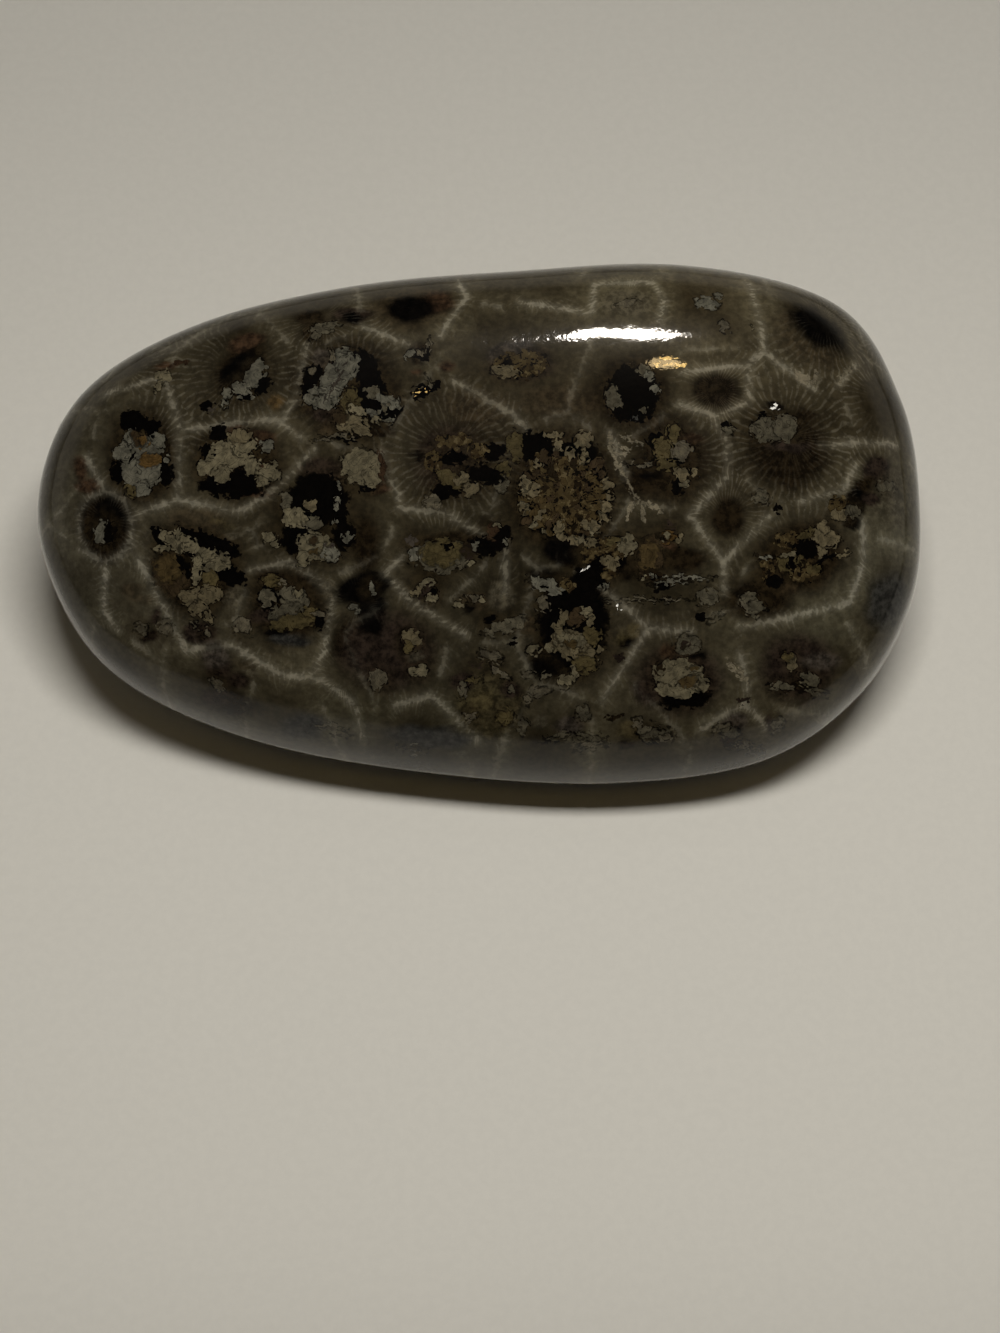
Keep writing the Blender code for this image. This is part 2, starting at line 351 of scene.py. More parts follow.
    (498, 534, 12, 11, 0, "black", 0.3), (442, 555, 26, 17, 0, "dove", 0.12),
    (442, 552, 20, 14, 0, "olive", 0.3), (413, 556, 6, 6, 0, "grey", 0.2),
    (411, 541, 6, 5, 0, "plum", 0.4), (469, 551, 8, 7, 0, "maroon", 0.3),
    (474, 547, 3, 4, 0, "white", 0.3), (470, 563, 5, 3, 15, "cream", 0.2),
    (447, 545, 5, 3, -10, "black", 0.4), (492, 530, 7, 9, 0, "rust", 0.4),
    (500, 523, 4, 3, 0, "cream", 0.3), (504, 542, 3, 4, 0, "white", 0.3),
    (425, 590, 11, 10, 0, "maroon", 0.4), (427, 583, 6, 3, 0, "cream", 0.2),
    (417, 591, 4, 5, 0, "tan", 0.2), (432, 598, 5, 4, 0, "cream", 0.2), (434, 590, 4, 4, 0, "black", 0.3),
    (473, 601, 16, 10, 0, "umber", 0.7), (472, 597, 5, 3, 0, "pale", 0.3),
    (458, 602, 5, 3, 0, "cream", 0.3), (481, 598, 3, 3, 0, "cream", 0.3),
    (467, 610, 6, 4, 0, "black", 0.6),
    # the cell with the big cream crystal and black pockets
    (322, 472, 22, 16, 0, "maroon", 0.8), (318, 498, 30, 26, 0, "black", 0.3),
    (299, 538, 18, 18, 0, "black", 0.3), (344, 535, 12, 14, 0, "black", 0.4),
    (340, 510, 8, 24, 0, "black", 0.4), (382, 466, 5, 17, 10, "rust", 0.4),
    (380, 489, 10, 6, 0, "rust", 0.6), (366, 487, 8, 5, 0, "black", 0.4),
    (360, 466, 19, 18, 0, "cream", 0.1), (371, 477, 9, 10, 0, "cream", 0.1),
    (295, 517, 13, 10, -20, "cream", 0.1), (313, 524, 9, 6, 0, "dove", 0.15),
    (310, 505, 7, 5, 0, "tan", 0.2), (316, 546, 18, 13, -20, "cream", 0.12),
    (331, 553, 9, 7, -30, "grey", 0.15), (304, 558, 6, 7, 0, "cream", 0.15),
    (314, 541, 5, 4, 0, "umber", 0.3), (315, 552, 4, 3, 0, "ochre", 0.4),
    (331, 548, 5, 3, 0, "plum", 0.3), (339, 488, 2, 7, 15, "grey", 0.3), (336, 505, 3, 6, 0, "grey", 0.3),
    (337, 522, 2, 4, 0, "grey", 0.3), (348, 538, 6, 3, 0, "grey", 0.2), (270, 538, 7, 5, 0, "cream", 0.2),
    (277, 545, 4, 3, 0, "cream", 0.2), (285, 500, 5, 7, 0, "dove", 0.3),
    # the dark cell under it and the crystals to its right
    (352, 592, 17, 15, 20, "black", 0.7), (373, 583, 18, 13, -10, "black", 0.6),
    (372, 606, 17, 22, 0, "black", 0.7), (388, 652, 44, 38, 0, "maroon", 1.0),
    (371, 624, 12, 12, 0, "black", 0.9), (371, 588, 4, 5, 0, "grey", 0.2),
    (373, 596, 3, 3, 0, "grey", 0.2), (355, 609, 6, 3, -10, "grey", 0.2),
    (405, 632, 6, 5, 0, "black", 0.5), (412, 639, 9, 9, 0, "tan", 0.12),
    (409, 649, 6, 5, 0, "olive", 0.3), (378, 679, 9, 10, 0, "pale", 0.12),
    (420, 671, 9, 6, 0, "cream", 0.15), (417, 657, 8, 5, 0, "dove", 0.5),
    (502, 596, 12, 12, 0, "pale", 0.9), (505, 626, 20, 6, 15, "dove", 0.4),
    (515, 645, 18, 6, 10, "dove", 0.5), (490, 618, 6, 4, 0, "black", 0.4),
    (513, 643, 5, 2.5, 10, "black", 0.4), (530, 626, 8, 10, 0, "umber", 0.7),
    (490, 703, 35, 33, 0, "moss", 0.6), (462, 681, 14, 9, 0, "maroon", 0.6),
    (510, 690, 12, 9, 0, "maroon", 0.8), (463, 691, 3, 8, 0, "dove", 0.3),
    (472, 680, 9, 3, 10, "olive", 0.4), (500, 672, 11, 4, -35, "pale", 0.4),
    (510, 690, 3, 4, 0, "dove", 0.3), (480, 700, 14, 12, 0, "olive", 0.9),
    (505, 716, 9, 6, 0, "olive", 0.45),
    # the black chain down to the spiky cluster
    (570, 553, 28, 14, -8, "black", 0.5), (606, 556, 22, 18, 0, "black", 0.35),
    (590, 578, 16, 12, 0, "black", 0.35), (626, 567, 14, 12, 0, "black", 0.5),
    (573, 622, 34, 46, 0, "black", 0.4), (548, 660, 18, 22, 0, "black", 0.6),
    (545, 576, 18, 8, -15, "black", 0.6), (591, 543, 7, 6, 0, "tan", 0.2),
    (590, 554, 8, 9, 0, "crumbs", 0.2), (604, 547, 9, 8, 0, "crumbs", 0.2),
    (618, 552, 8, 6, 0, "crumbs", 0.2), (611, 563, 10, 6, -20, "tan", 0.2),
    (608, 573, 8, 5, 0, "crumbs", 0.2), (627, 545, 9, 10, 0, "cream", 0.15),
    # the glint on the next line is a painted highlight
    (614, 541, 8, 4, 0, "olive", 0.2), (585, 570, 4, 1.0, 50, "glint", 0.4),
    (547, 586, 18, 6, -18, "grey", 0.12), (545, 586, 4, 2, 0, "black", 0.4),
    (567, 584, 7, 7, 0, "crumbs", 0.2), (544, 604, 6, 7, 0, "pale", 0.3),
    (603, 587, 4, 4, 0, "grey", 0.3), (575, 617, 9, 9, 0, "umber", 0.3),
    (562, 619, 4, 9, -15, "tan", 0.15), (585, 612, 5, 5, 0, "cream", 0.2),
    (590, 620, 4, 6, 0, "tan", 0.2), (572, 644, 22, 14, 0, "tan", 0.12),
    (572, 640, 16, 7, -10, "cream", 0.15), (592, 636, 9, 9, 0, "olive", 0.2),
    (589, 653, 9, 8, -30, "tan", 0.15), (550, 648, 6, 4, 0, "cream", 0.2),
    (585, 664, 13, 9, 0, "olive", 0.2), (573, 671, 5, 6, 0, "cream", 0.15),
    (566, 681, 7, 6, 0, "cream", 0.15), (557, 630, 6, 4, -20, "tan", 0.2),
    (570, 645, 4, 5, 0, "ochre", 0.4), (534, 649, 7, 4, 10, "cream", 0.2),
    (528, 673, 6, 3, 0, "pale", 0.3), (548, 675, 5, 3, 0, "dove", 0.3), (625, 641, 9, 6, 0, "black", 0.6),
    (620, 637, 9, 5, 20, "olive", 0.5), (634, 631, 7, 8, -20, "olive", 0.6),
    # the umber lens, the small gold crystals and the scratches
    (682, 560, 26, 14, 0, "brown", 0.9), (650, 558, 13, 21, -8, "umber", 0.3),
    (648, 556, 9, 15, -8, "ochre", 0.45), (653, 572, 9, 6, 0, "brown", 0.45),
    (670, 528, 6, 7, 0, "maroon", 0.4), (668, 537, 7, 5, 0, "amber", 0.2),
    (666, 537, 4, 2.5, 0, "cream", 0.3), (679, 539, 3, 5, 0, "tan", 0.2),
    (670, 546, 7, 4, 0, "rust", 0.5), (653, 575, 2, 2, 0, "white", 0.45),
    (643, 579, 2.5, 2, 0, "cream", 0.45), (658, 585, 2, 2, 0, "cream", 0.45),
    (684, 577, 24, 1.3, -1, "grey", 0.45), (672, 583, 17, 1.8, 2, "grey", 0.45),
    (662, 588, 8, 3, 0, "black", 0.45), (672, 600, 14, 1.2, 0, "pale", 0.45),
    # the glint at the start of the next line is a painted highlight
    (620, 608, 1.6, 1.4, 0, "glint", 0.45), (709, 597, 11, 9, 20, "dove", 0.2),
    (746, 591, 13, 8, 0, "black", 0.5), (765, 600, 10, 7, 0, "brown", 0.6),
    (750, 604, 10, 13, 30, "dove", 0.12), (757, 607, 9, 4, -5, "dove", 0.2),
    (700, 616, 5, 4, 0, "black", 0.4), (714, 617, 7, 2, 20, "dove", 0.4),
    (728, 517, 17, 20, 0, "brown", 1.0), (761, 497, 8, 6, -20, "dove", 0.3),
    (776, 515, 5, 6, 0, "dove", 0.5), (777, 508, 3, 4, 0, "black", 0.45),
    # the wide cell with long ribs
    (790, 452, 40, 40, 0, "brown", 1.0), (761, 418, 7, 5, 0, "black", 0.35),
    (727, 424, 5, 3, 0, "black", 0.4), (775, 407, 9, 5, 0, "black", 0.5),
    (806, 416, 9, 8, 0, "brown", 0.7), (767, 430, 17, 12, -10, "dove", 0.1),
    (786, 427, 13, 13, 0, "dove", 0.1), (755, 430, 6, 6, 0, "dove", 0.15),
    (729, 431, 6, 4, -20, "dove", 0.2), (790, 447, 24, 5, 0, "maroon", 0.7),
    # the glint on the next line is a painted highlight
    (775, 407, 4, 2.0, 0, "glint", 0.45),
    # the dark eye at the upper right
    (812, 336, 42, 26, -38, "umber", 1.0), (818, 328, 36, 15, -38, "black", 1.1),
    (815, 378, 2, 11, -8, "wall", 0.45), (846, 374, 13, 3, 50, "wall", 0.45),
    (803, 378, 10, 4, -35, "wall", 0.45),
    # the broad end
    (876, 470, 14, 14, 0, "maroon", 0.7), (863, 486, 14, 10, 30, "brown", 0.5),
    (857, 498, 12, 12, 0, "black", 0.5), (850, 512, 15, 8, 0, "black", 0.5),
    # the big soft dove stain at the end of the next line is painted sheen at the stone's edge
    (853, 524, 11, 6, 0, "black", 0.5), (894, 497, 20, 25, 0, "dove", 1.2),
    (886, 486, 9, 6, 0, "dove", 0.3), (871, 500, 8, 8, 0, "maroon", 0.5),
    (838, 505, 9, 9, 0, "crumbs", 0.3), (841, 514, 8, 5, 0, "tan", 0.3), (853, 512, 6, 6, 0, "dove", 0.4),
    (888, 600, 20, 28, -15, "slate", 1.0),
    # the gold ring at the lower right
    (802, 557, 44, 34, 0, "brown", 0.9), (790, 540, 14, 9, 0, "crumbs", 0.2),
    (808, 536, 12, 6, 0, "olive", 0.2), (826, 539, 14, 9, 0, "tan", 0.15),
    (823, 528, 5, 6, 0, "tan", 0.2), (821, 552, 7, 6, 0, "tan", 0.2), (790, 562, 12, 11, 0, "olive", 0.2),
    (806, 549, 12, 11, 0, "black", 0.2), (792, 562, 4, 8, 0, "black", 0.4),
    (788, 555, 9, 3, 5, "cream", 0.3), (806, 572, 16, 9, 10, "crumbs", 0.2),
    (815, 570, 7, 4, 10, "olive", 0.3), (768, 568, 8, 11, 0, "crumbs", 0.2),
    (774, 581, 10, 7, 0, "black", 0.4), (766, 556, 7, 2, 0, "grey", 0.4),
    (841, 554, 8, 3, 20, "tan", 0.3), (825, 560, 13, 3, 20, "black", 0.4),
    (790, 588, 10, 5, 0, "umber", 0.5), (831, 544, 5, 2, 20, "black", 0.4),
    # the cream patch in its dark cell
    (680, 680, 44, 32, 0, "maroon", 0.9), (685, 699, 26, 9, 4, "black", 0.4),
    (650, 690, 16, 11, 0, "maroon", 0.8), (668, 651, 8, 7, 0, "rust", 0.9),
    (678, 674, 25, 15, 0, "cream", 0.1), (694, 684, 13, 9, 10, "cream", 0.1),
    (676, 690, 20, 6, -6, "cream", 0.12), (661, 668, 4, 5, 0, "brown", 0.3),
    (688, 682, 9, 5, 20, "ochre", 0.4), (694, 668, 4, 3, 0, "ochre", 0.45),
    (688, 645, 13, 10, 0, "dove", 0.25), (685, 644, 5, 4, 0, "maroon", 0.4),
    (698, 655, 11, 4, 10, "black", 0.5), (737, 672, 16, 3.5, -45, "wall", 0.45),
    # the dark cell below the broad end
    (800, 668, 36, 34, 0, "maroon", 1.0), (803, 686, 15, 5, -10, "black", 0.6),
    (820, 662, 20, 8, 0, "plum", 1.0), (792, 662, 5, 8, 15, "tan", 0.2),
    (787, 657, 6, 3, 0, "olive", 0.4), (810, 678, 10, 5, -25, "dove", 0.15),
    (806, 684, 7, 1.8, -15, "cream", 0.3), (782, 687, 11, 4, -5, "dove", 0.2),
    (815, 692, 10, 2, -8, "dove", 0.3),
    # stretched stains along the front edge
    (430, 737, 42, 12, -4, "slate", 0.9), (414, 749, 9, 1.3, -2, "grey", 0.45),
    (570, 726, 14, 9, 0, "plum", 0.8), (583, 713, 8, 6, 15, "dove", 0.25),
    (582, 742, 20, 7, -10, "dove", 0.5), (546, 740, 9, 3, 0, "brown", 0.45),
    (632, 731, 16, 10, 0, "olive", 0.6), (655, 734, 14, 6, 0, "dove", 0.2),
    (639, 724, 6, 3, -30, "pale", 0.4), (626, 746, 9, 4, 0, "brown", 0.7),
    (616, 718, 12, 2, 12, "brown", 0.45), (736, 722, 14, 9, 0, "plum", 1.0),
    (729, 731, 10, 5, -8, "dove", 0.3), (734, 741, 16, 2.4, -12, "maroon", 0.45),
    (746, 747, 14, 2, -15, "pale", 0.45), (777, 724, 6, 7, 0, "dove", 0.4),
    (769, 722, 5, 6, 0, "maroon", 0.7), (645, 729, 7, 4, 20, "dove", 0.3),
    (664, 738, 8, 3, 0, "pale", 0.35), (560, 737, 12, 2.5, 8, "dove", 0.4),
    (588, 736, 14, 2.5, -8, "dove", 0.4), (590, 746, 12, 2.5, 6, "pale", 0.45),
    (540, 722, 9, 7, 20, "dove", 0.5), (527, 700, 5, 4, 0, "pale", 0.4), (523, 727, 5, 6, 0, "dove", 0.4),
    (470, 716, 5, 4, 0, "pale", 0.45), (745, 700, 9, 2.5, 30, "maroon", 0.45),
    (722, 727, 8, 3, 20, "pale", 0.45), (330, 728, 14, 2, -15, "pale", 0.45),
    (215, 655, 14, 14, 0, "plum", 0.9), (490, 655, 12, 5, -15, "pale", 0.45),
    (476, 664, 8, 4, 0, "maroon", 0.45), (540, 690, 10, 4, 0, "pale", 0.49),
    (630, 600, 26, 1.0, 0, "pale", 0.45), (618, 657, 5, 4, 0, "maroon", 0.4),
    (600, 650, 3, 5, 20, "tan", 0.3),
]

# The great rosette: its middle, half width and half height in pixels. Its petals stand in rings: how far
# out each ring is, how many petals it has, their half length and half width, and their kinds.
ROSETTE = (566, 496, 42, 41)
PETALS = [
    (1.02, 22, 7, 4.4, ("tan", "ochre", "tan", "umber")),
    (0.80, 18, 6, 3.8, ("ochre", "umber", "tan", "brown")),
    (0.58, 13, 5, 3.4, ("ochre", "umber", "brown")),
    (0.34, 8, 5, 3.2, ("ochre", "umber", "brown")),
]

# The coral's colour drift and painted sheen: a place in the photograph, and what the colour is multiplied
# by there.
# Where they raise the colour and turn it bluer, along the edges and round the long streak, they are painted
# sheen.
TINTS_AND_SHEEN = [
    (55, 490, (1.25, 1.30, 1.38)),
    (90, 610, (0.98, 1.02, 1.08)),
    (135, 600, (1.35, 1.38, 1.40)),
    (150, 690, (1.08, 1.08, 1.04)),
    (160, 400, (0.72, 0.69, 0.62)),
    (270, 470, (0.92, 0.88, 0.78)),
    (230, 700, (0.95, 0.94, 0.89)),
    (290, 660, (1.25, 1.24, 1.18)),
    (95, 440, (0.78, 0.77, 0.74)),
    (150, 485, (0.75, 0.73, 0.68)),
    (290, 535, (0.46, 0.43, 0.37)),
    (360, 370, (0.60, 0.56, 0.49)),
    (360, 440, (0.62, 0.58, 0.50)),
    (430, 500, (0.68, 0.65, 0.57)),
    (400, 600, (0.72, 0.69, 0.64)),
    (470, 380, (0.62, 0.57, 0.48)),
    (570, 390, (0.72, 0.66, 0.57)),
    (440, 300, (1.38, 1.36, 1.27)),
    (520, 300, (1.15, 1.12, 1.05)),
    (705, 350, (1.40, 1.34, 1.20)),
    (716, 391, (1.00, 0.94, 0.83)),
    (710, 295, (1.85, 1.78, 1.62)),
    (790, 325, (1.10, 1.08, 1.00)),
    (500, 530, (0.38, 0.36, 0.31)),
    (500, 600, (0.40, 0.38, 0.33)),
    (570, 560, (0.36, 0.34, 0.29)),
    (650, 580, (0.52, 0.49, 0.42)),
    (640, 430, (0.48, 0.45, 0.38)),
    (850, 545, (0.62, 0.59, 0.53)),
    (850, 395, (0.82, 0.77, 0.68)),
    (640, 295, (1.50, 1.48, 1.34)),
    (350, 740, (1.05, 1.08, 1.05)),
    (470, 740, (1.05, 1.08, 1.05)),
    (600, 740, (1.20, 1.20, 1.14)),
    (640, 640, (0.72, 0.69, 0.65)),
    (720, 640, (1.10, 1.10, 1.04)),
    (825, 625, (1.35, 1.42, 1.40)),
    (730, 460, (0.62, 0.58, 0.52)),
    (800, 440, (0.74, 0.68, 0.54)),
    (760, 590, (0.60, 0.56, 0.48)),
    (880, 560, (1.80, 1.92, 2.05)),
    (780, 730, (0.96, 0.93, 0.86)),
    (855, 690, (1.35, 1.33, 1.26)),
]

# Cells with long ribs: the middle, half width and half height in pixels.
RIBBED = [
    (785, 430, 85, 85), (450, 450, 75, 65), (835, 340, 50, 60), (200, 380, 60, 60), (330, 360, 60, 60),
]

# Stretches of wall that show pale in the photograph, as corners of a line in pixels.
WALLS = [
    [(80, 512), (90, 497), (108, 491), (124, 500), (131, 520), (130, 540), (120, 556), (103, 561),
     (88, 552), (80, 535), (80, 512)],
    [(105, 395), (160, 378)], [(166, 382), (181, 432)], [(183, 430), (275, 419), (302, 438)],
    [(178, 434), (178, 498)], [(135, 515), (180, 500), (238, 512), (275, 490), (314, 450)],
    [(86, 456), (106, 494)], [(80, 550), (106, 562), (132, 548)], [(106, 560), (104, 612), (118, 630)],
    [(138, 558), (186, 650)], [(250, 570), (290, 562), (328, 588)], [(186, 650), (230, 645), (284, 676)],
    [(284, 676), (320, 678), (354, 704), (363, 742)], [(332, 600), (325, 650), (313, 674)],
    [(307, 345), (297, 398)], [(362, 326), (412, 346)], [(440, 336), (466, 298), (458, 280)],
    [(454, 381), (510, 412), (528, 430)], [(380, 450), (402, 506)], [(400, 508), (446, 513), (484, 536)],
    [(404, 556), (384, 574), (412, 602), (466, 636)], [(505, 542), (505, 592)], [(520, 302), (590, 313)],
    [(592, 312), (594, 284), (654, 282), (664, 300), (660, 320)], [(746, 280), (760, 322), (764, 352)],
    [(684, 372), (745, 366), (764, 352), (814, 389)], [(750, 366), (748, 402), (716, 416)],
    [(680, 404), (712, 414), (728, 444), (728, 476)], [(728, 476), (690, 516), (724, 562), (768, 516)],
    [(724, 562), (724, 592)], [(610, 432), (626, 478)], [(820, 446), (898, 446)],
    [(856, 464), (844, 490), (800, 502)], [(862, 520), (864, 558), (850, 602), (790, 618), (740, 626)],
    [(578, 574), (620, 602), (648, 628), (692, 632)], [(646, 632), (602, 700)],
    [(394, 706), (430, 695), (478, 738)], [(740, 655), (748, 690)], [(700, 730), (745, 704), (766, 726)],
    [(838, 386), (856, 364)], [(278, 424), (298, 396)],
]

# ------------------------------------------------------------------------------ light and paper, metres

# The key hangs near the stone, so that its shadow spreads. The other lamps are farther off.
KEY_DISTANCE = 0.25
KEY_DIRECTION = Vector((0.086, -0.022, 1.0))
KEY_SIZE = (0.100, 0.036)
KEY_POWER = 0.413
KEY_COLOUR = (1.0, 0.985, 0.95)
LAMP_DISTANCE = 0.62
# The long streak in the polish.
GLINT_DIRECTION = Vector((0.114, 0.353, 1.0))
GLINT_SIZE = (0.120, 0.042)
GLINT_POWER = 1.6
GLINT_COLOUR = (1.0, 0.92, 0.82)
# A small warm lamp nearer to the camera, which shows in the polish only.
SPARK_DIRECTION = Vector((0.178, 0.148, 1.0))
SPARK_SIZE = (0.043, 0.030)
SPARK_POWER = 0.07
SPARK_COLOUR = (1.0, 0.72, 0.36)
# A weak warm light from high in front reaches into the shadow.
FILL_DIRECTION = Vector((0.0, -0.32, 1.0))
FILL_SIZE = (0.30, 0.12)
FILL_POWER = 0.07
FILL_COLOUR = (1.0, 0.68, 0.15)
# The room's glow low down and high up, and the pale wall behind the stone and beside it.
ROOM_LOW = (0.014, 0.010, 0.005)
ROOM_HIGH = (0.018, 0.018, 0.018)
ROOM_WALL = (0.42, 0.385, 0.32)
# Half the width of the sheet of paper under the stone.
PAPER_HALF = 1.5


# ------------------------------------------------------------------------------------ form, in functions


def rim_point(turn):
    """The point on the widest line after a share of one turn, on a smooth closed curve."""
    place = (turn % 1.0) * len(RIM_POINTS)
    first = int(place)
    step = place - first
    before, start, end, after = (
        Vector(RIM_POINTS[(first + offset) % len(RIM_POINTS)]) for offset in (-1, 0, 1, 2)
    )
    straight = (end - before) * step
    bend = (2 * before - 5 * start + 4 * end - after) * step**2
    turn_back = (3 * start - before - 3 * end + after) * step**3
    return (2 * start + straight + bend + turn_back) / 2


def arc(share, fullness):
    """How far out and how far up a full quarter arc has gone, each from 0 to 1."""
    angle = share * math.pi / 2
    across, up = math.cos(angle), math.sin(angle)
    size = (across**fullness + up**fullness) ** (-1 / fullness)
    return across * size, up * size


def crown_point(rim, share):
    """A point above the widest line: share 0 is on that line and 1 is the middle of the crown."""
    out, up = arc(share, CROWN_FULLNESS)
    x = CROWN_X + (rim.x - CROWN_X) * out
    y = CROWN_Y + (rim.y - CROWN_Y) * out
    lean = CROWN_LEAN * (y - CROWN_Y)
    return Vector((x, y, rim.z + (CROWN_HEIGHT - rim.z + lean) * up))


def belly_point(rim, share):
    """A point below the widest line: share 0 is on that line and 1 is the edge of the resting flat."""
    out, down = arc(share, BELLY_FULLNESS)
    reach = FLAT_SHARE + (1 - FLAT_SHARE) * out
    x = FLAT_X + (rim.x - FLAT_X) * reach
    y = FLAT_Y + (rim.y - FLAT_Y) * reach
    return Vector((x, y, rim.z * (1 - down)))


def flat_point(rim, share):
    """A point of the resting flat: share 0 is in its middle and 1 is on its edge."""
    reach = FLAT_SHARE * share
    return Vector((FLAT_X + (rim.x - FLAT_X) * reach, FLAT_Y + (rim.y - FLAT_Y) * reach, 0.0))


def surface_rings():
    """Rings of points from the middle of the resting flat up to the last ring below the crown's middle."""
    rims = [rim_point(station / STATIONS) for station in range(STATIONS)]
    flat = [[flat_point(rim, row / FLAT_ROWS) for rim in rims] for row in range(1, FLAT_ROWS)]
    belly = [[belly_point(rim, row / BELLY_ROWS) for rim in rims] for row in range(BELLY_ROWS, 0, -1)]
    crown = [[crown_point(rim, row / CROWN_ROWS) for rim in rims] for row in range(CROWN_ROWS)]
    return flat + belly + crown


def row_origin(rings):
    """The middle of the stone's bounding box, on the resting plane."""
    xs = [point.x for ring in rings for point in ring]
    ys = [point.y for ring in rings for point in ring]
    return Vector(((min(xs) + max(xs)) / 2, (min(ys) + max(ys)) / 2, 0.0))


def stone_object():
    rings = surface_rings()
    origin = row_origin(rings)
    bm = bmesh.new()
    loops = [[bm.verts.new((point - origin) * MM) for point in ring] for ring in rings]
    for lower, upper in zip(loops, loops[1:]):
        for station in range(STATIONS):
            following = (station + 1) % STATIONS
            bm.faces.new((lower[station], lower[following], upper[following], upper[station]))
    summit = bm.verts.new((Vector((CROWN_X, CROWN_Y, CROWN_HEIGHT)) - origin) * MM)
    foot = bm.verts.new((Vector((FLAT_X, FLAT_Y, 0.0)) - origin) * MM)
    for station in range(STATIONS):
        following = (station + 1) % STATIONS
        bm.faces.new((loops[-1][station], loops[-1][following], summit))
        bm.faces.new((loops[0][following], loops[0][station], foot))
    bmesh.ops.recalc_face_normals(bm, faces=bm.faces)
    mesh = bpy.data.meshes.new("polished_stone")
    bm.to_mesh(mesh)
    bm.free()
    mesh.shade_smooth()
    mesh.set_sharp_from_angle(angle=math.radians(50))
    stone = bpy.data.objects.new("polished_stone", mesh)
    bpy.context.scene.collection.objects.link(stone)
    return stone


# ---------------------------------------------------------------- from the photograph's frame to the plan


def pixel_ray(px, py):
    """Which way the camera looks through a pixel of the photograph's frame."""
    right = (px - FRAME_WIDTH / 2) / FOCAL_PIXELS
    down = (py - FRAME_HEIGHT / 2) / FOCAL_PIXELS
    ray = Vector((right, -down, -1.0))
    ray.rotate(CAMERA_TURN)
    return ray.normalized()


class Photograph:
    """Carries pixels of the photograph's frame onto the stone, and on to its plan."""

    def __init__(self, stone):
        corners = [vertex.co / MM for vertex in stone.data.vertices]
        faces = [tuple(face.vertices) for face in stone.data.polygons]
        self.tree = BVHTree.FromPolygons(corners, faces)

    def point(self, px, py):
        return self.tree.ray_cast(EYE, pixel_ray(px, py))[0]

    def plan(self, px, py):
        """The plan of what shows at a pixel, or None if the ray misses the stone."""
        point = self.point(px, py)
        if point is None:
            return None
        spread = 1 + FAN * (PLAN_HEIGHT - point.z)
        return Vector((point.x * spread, point.y * spread))

    def steps(self, px, py, reach=3.0):
        """The plan at a pixel, and how far it moves for one pixel to the right and one pixel down."""
        middle = self.plan(px, py)
        if middle is None:
            raise ValueError("the pixel %s, %s is not on the stone" % (px, py))
        moves = []
        for across, down in ((reach, 0.0), (0.0, reach)):
            sign = 1.0
            other = self.plan(px + across, py + down)
            if other is None:
                sign = -1.0
                other = self.plan(px - across, py - down)
            moves.append((other - middle) * sign / reach)
        return middle, moves[0], moves[1]

    def ellipse(self, px, py, width, height, turn):
        """An ellipse of the photograph's frame in the plan: its middle, half lengths and long direction."""
        middle, right, down = self.steps(px, py)
        angle = math.radians(turn)
        across = (right * math.cos(angle) - down * math.sin(angle)) * width
        upright = (right * math.sin(angle) + down * math.cos(angle)) * height
        lean = 0.5 * math.atan2(
            2 * across.dot(upright), across.length_squared - upright.length_squared
        )
        long = across * math.cos(lean) + upright * math.sin(lean)
        short = upright * math.cos(lean) - across * math.sin(lean)
        return middle, long.length, short.length, math.atan2(long.y, long.x)


# --------------------------------------------------------------------- numbers that the mesh itself keeps


def petals():
    """The small crystals that stand in rings on the great rosette, as more spots."""
    px, py, width, height = ROSETTE
    chance = random.Random(9)
    found = []
    for share, count, long, wide, kinds in PETALS:
        for step in range(count):
            turn = 360 * (step + chance.uniform(-0.2, 0.2)) / count
            out = share * chance.uniform(0.94, 1.05)
            x = px + out * width * math.cos(math.radians(turn))
            y = py - out * height * math.sin(math.radians(turn))
            size = chance.uniform(0.7, 1.15)
            found.append((x, y, long * size, wide * size, turn, chance.choice(kinds), 0.25))
    return found


def smooth_step(values, low, high):
    share = np.clip((values - low) / (high - low), 0.0, 1.0)
    return share * share * (3 - 2 * share)


def plan_array(points):
    """The plan of each point in an array of them."""
    return points[:, :2] * (1 + FAN * (PLAN_HEIGHT - points[:, 2:3]))


def drifted(points, size, reach):
    """The plan of each point, moved sideways by noise with lumps of that size."""
    moves = [noise.noise_vector(Vector(point) / size)[:2] for point in points.tolist()]
    return plan_array(points) + np.array(moves) * reach


def nearness(plans, shape, soft):
    """1 inside an ellipse and 0 outside, with 0.5 on its edge, which is the wider the softer it is."""
    middle, long, short, direction = shape
    apart = plans - np.array(middle)
    along = (apart[:, 0] * math.cos(direction) + apart[:, 1] * math.sin(direction)) / long
    beside = (apart[:, 1] * math.cos(direction) - apart[:, 0] * math.sin(direction)) / short
    return np.clip(0.5 + (1 - along**2 - beside**2) / soft, 0.0, 1.0)


def quadratic(shape, soft):
    """The same nearness, as what x*x, x*y and y*y are multiplied by, and then x, y and 1."""
    middle, long, short, direction = shape
    along = np.array((math.cos(direction), math.sin(direction))) / long
    beside = np.array((-math.sin(direction), math.cos(direction))) / short
    form = (np.outer(along, along) + np.outer(beside, beside)) / soft
    pull = form @ np.array(middle)
    rest = 0.5 + 1 / soft - pull @ np.array(middle)
    return (-form[0, 0], -2 * form[0, 1], -form[1, 1]), (2 * pull[0], 2 * pull[1], rest)


def outline(shape, kind, soft):
    """What to add to the nearness so that a pale crystal's dark outline is within it."""
    if kind in DARK_KINDS or kind in ("wall", "crumbs", "gold", "glint"):
        return 0.0
    return ((1 + OUTLINE / shape[2]) ** 2 - 1) / soft


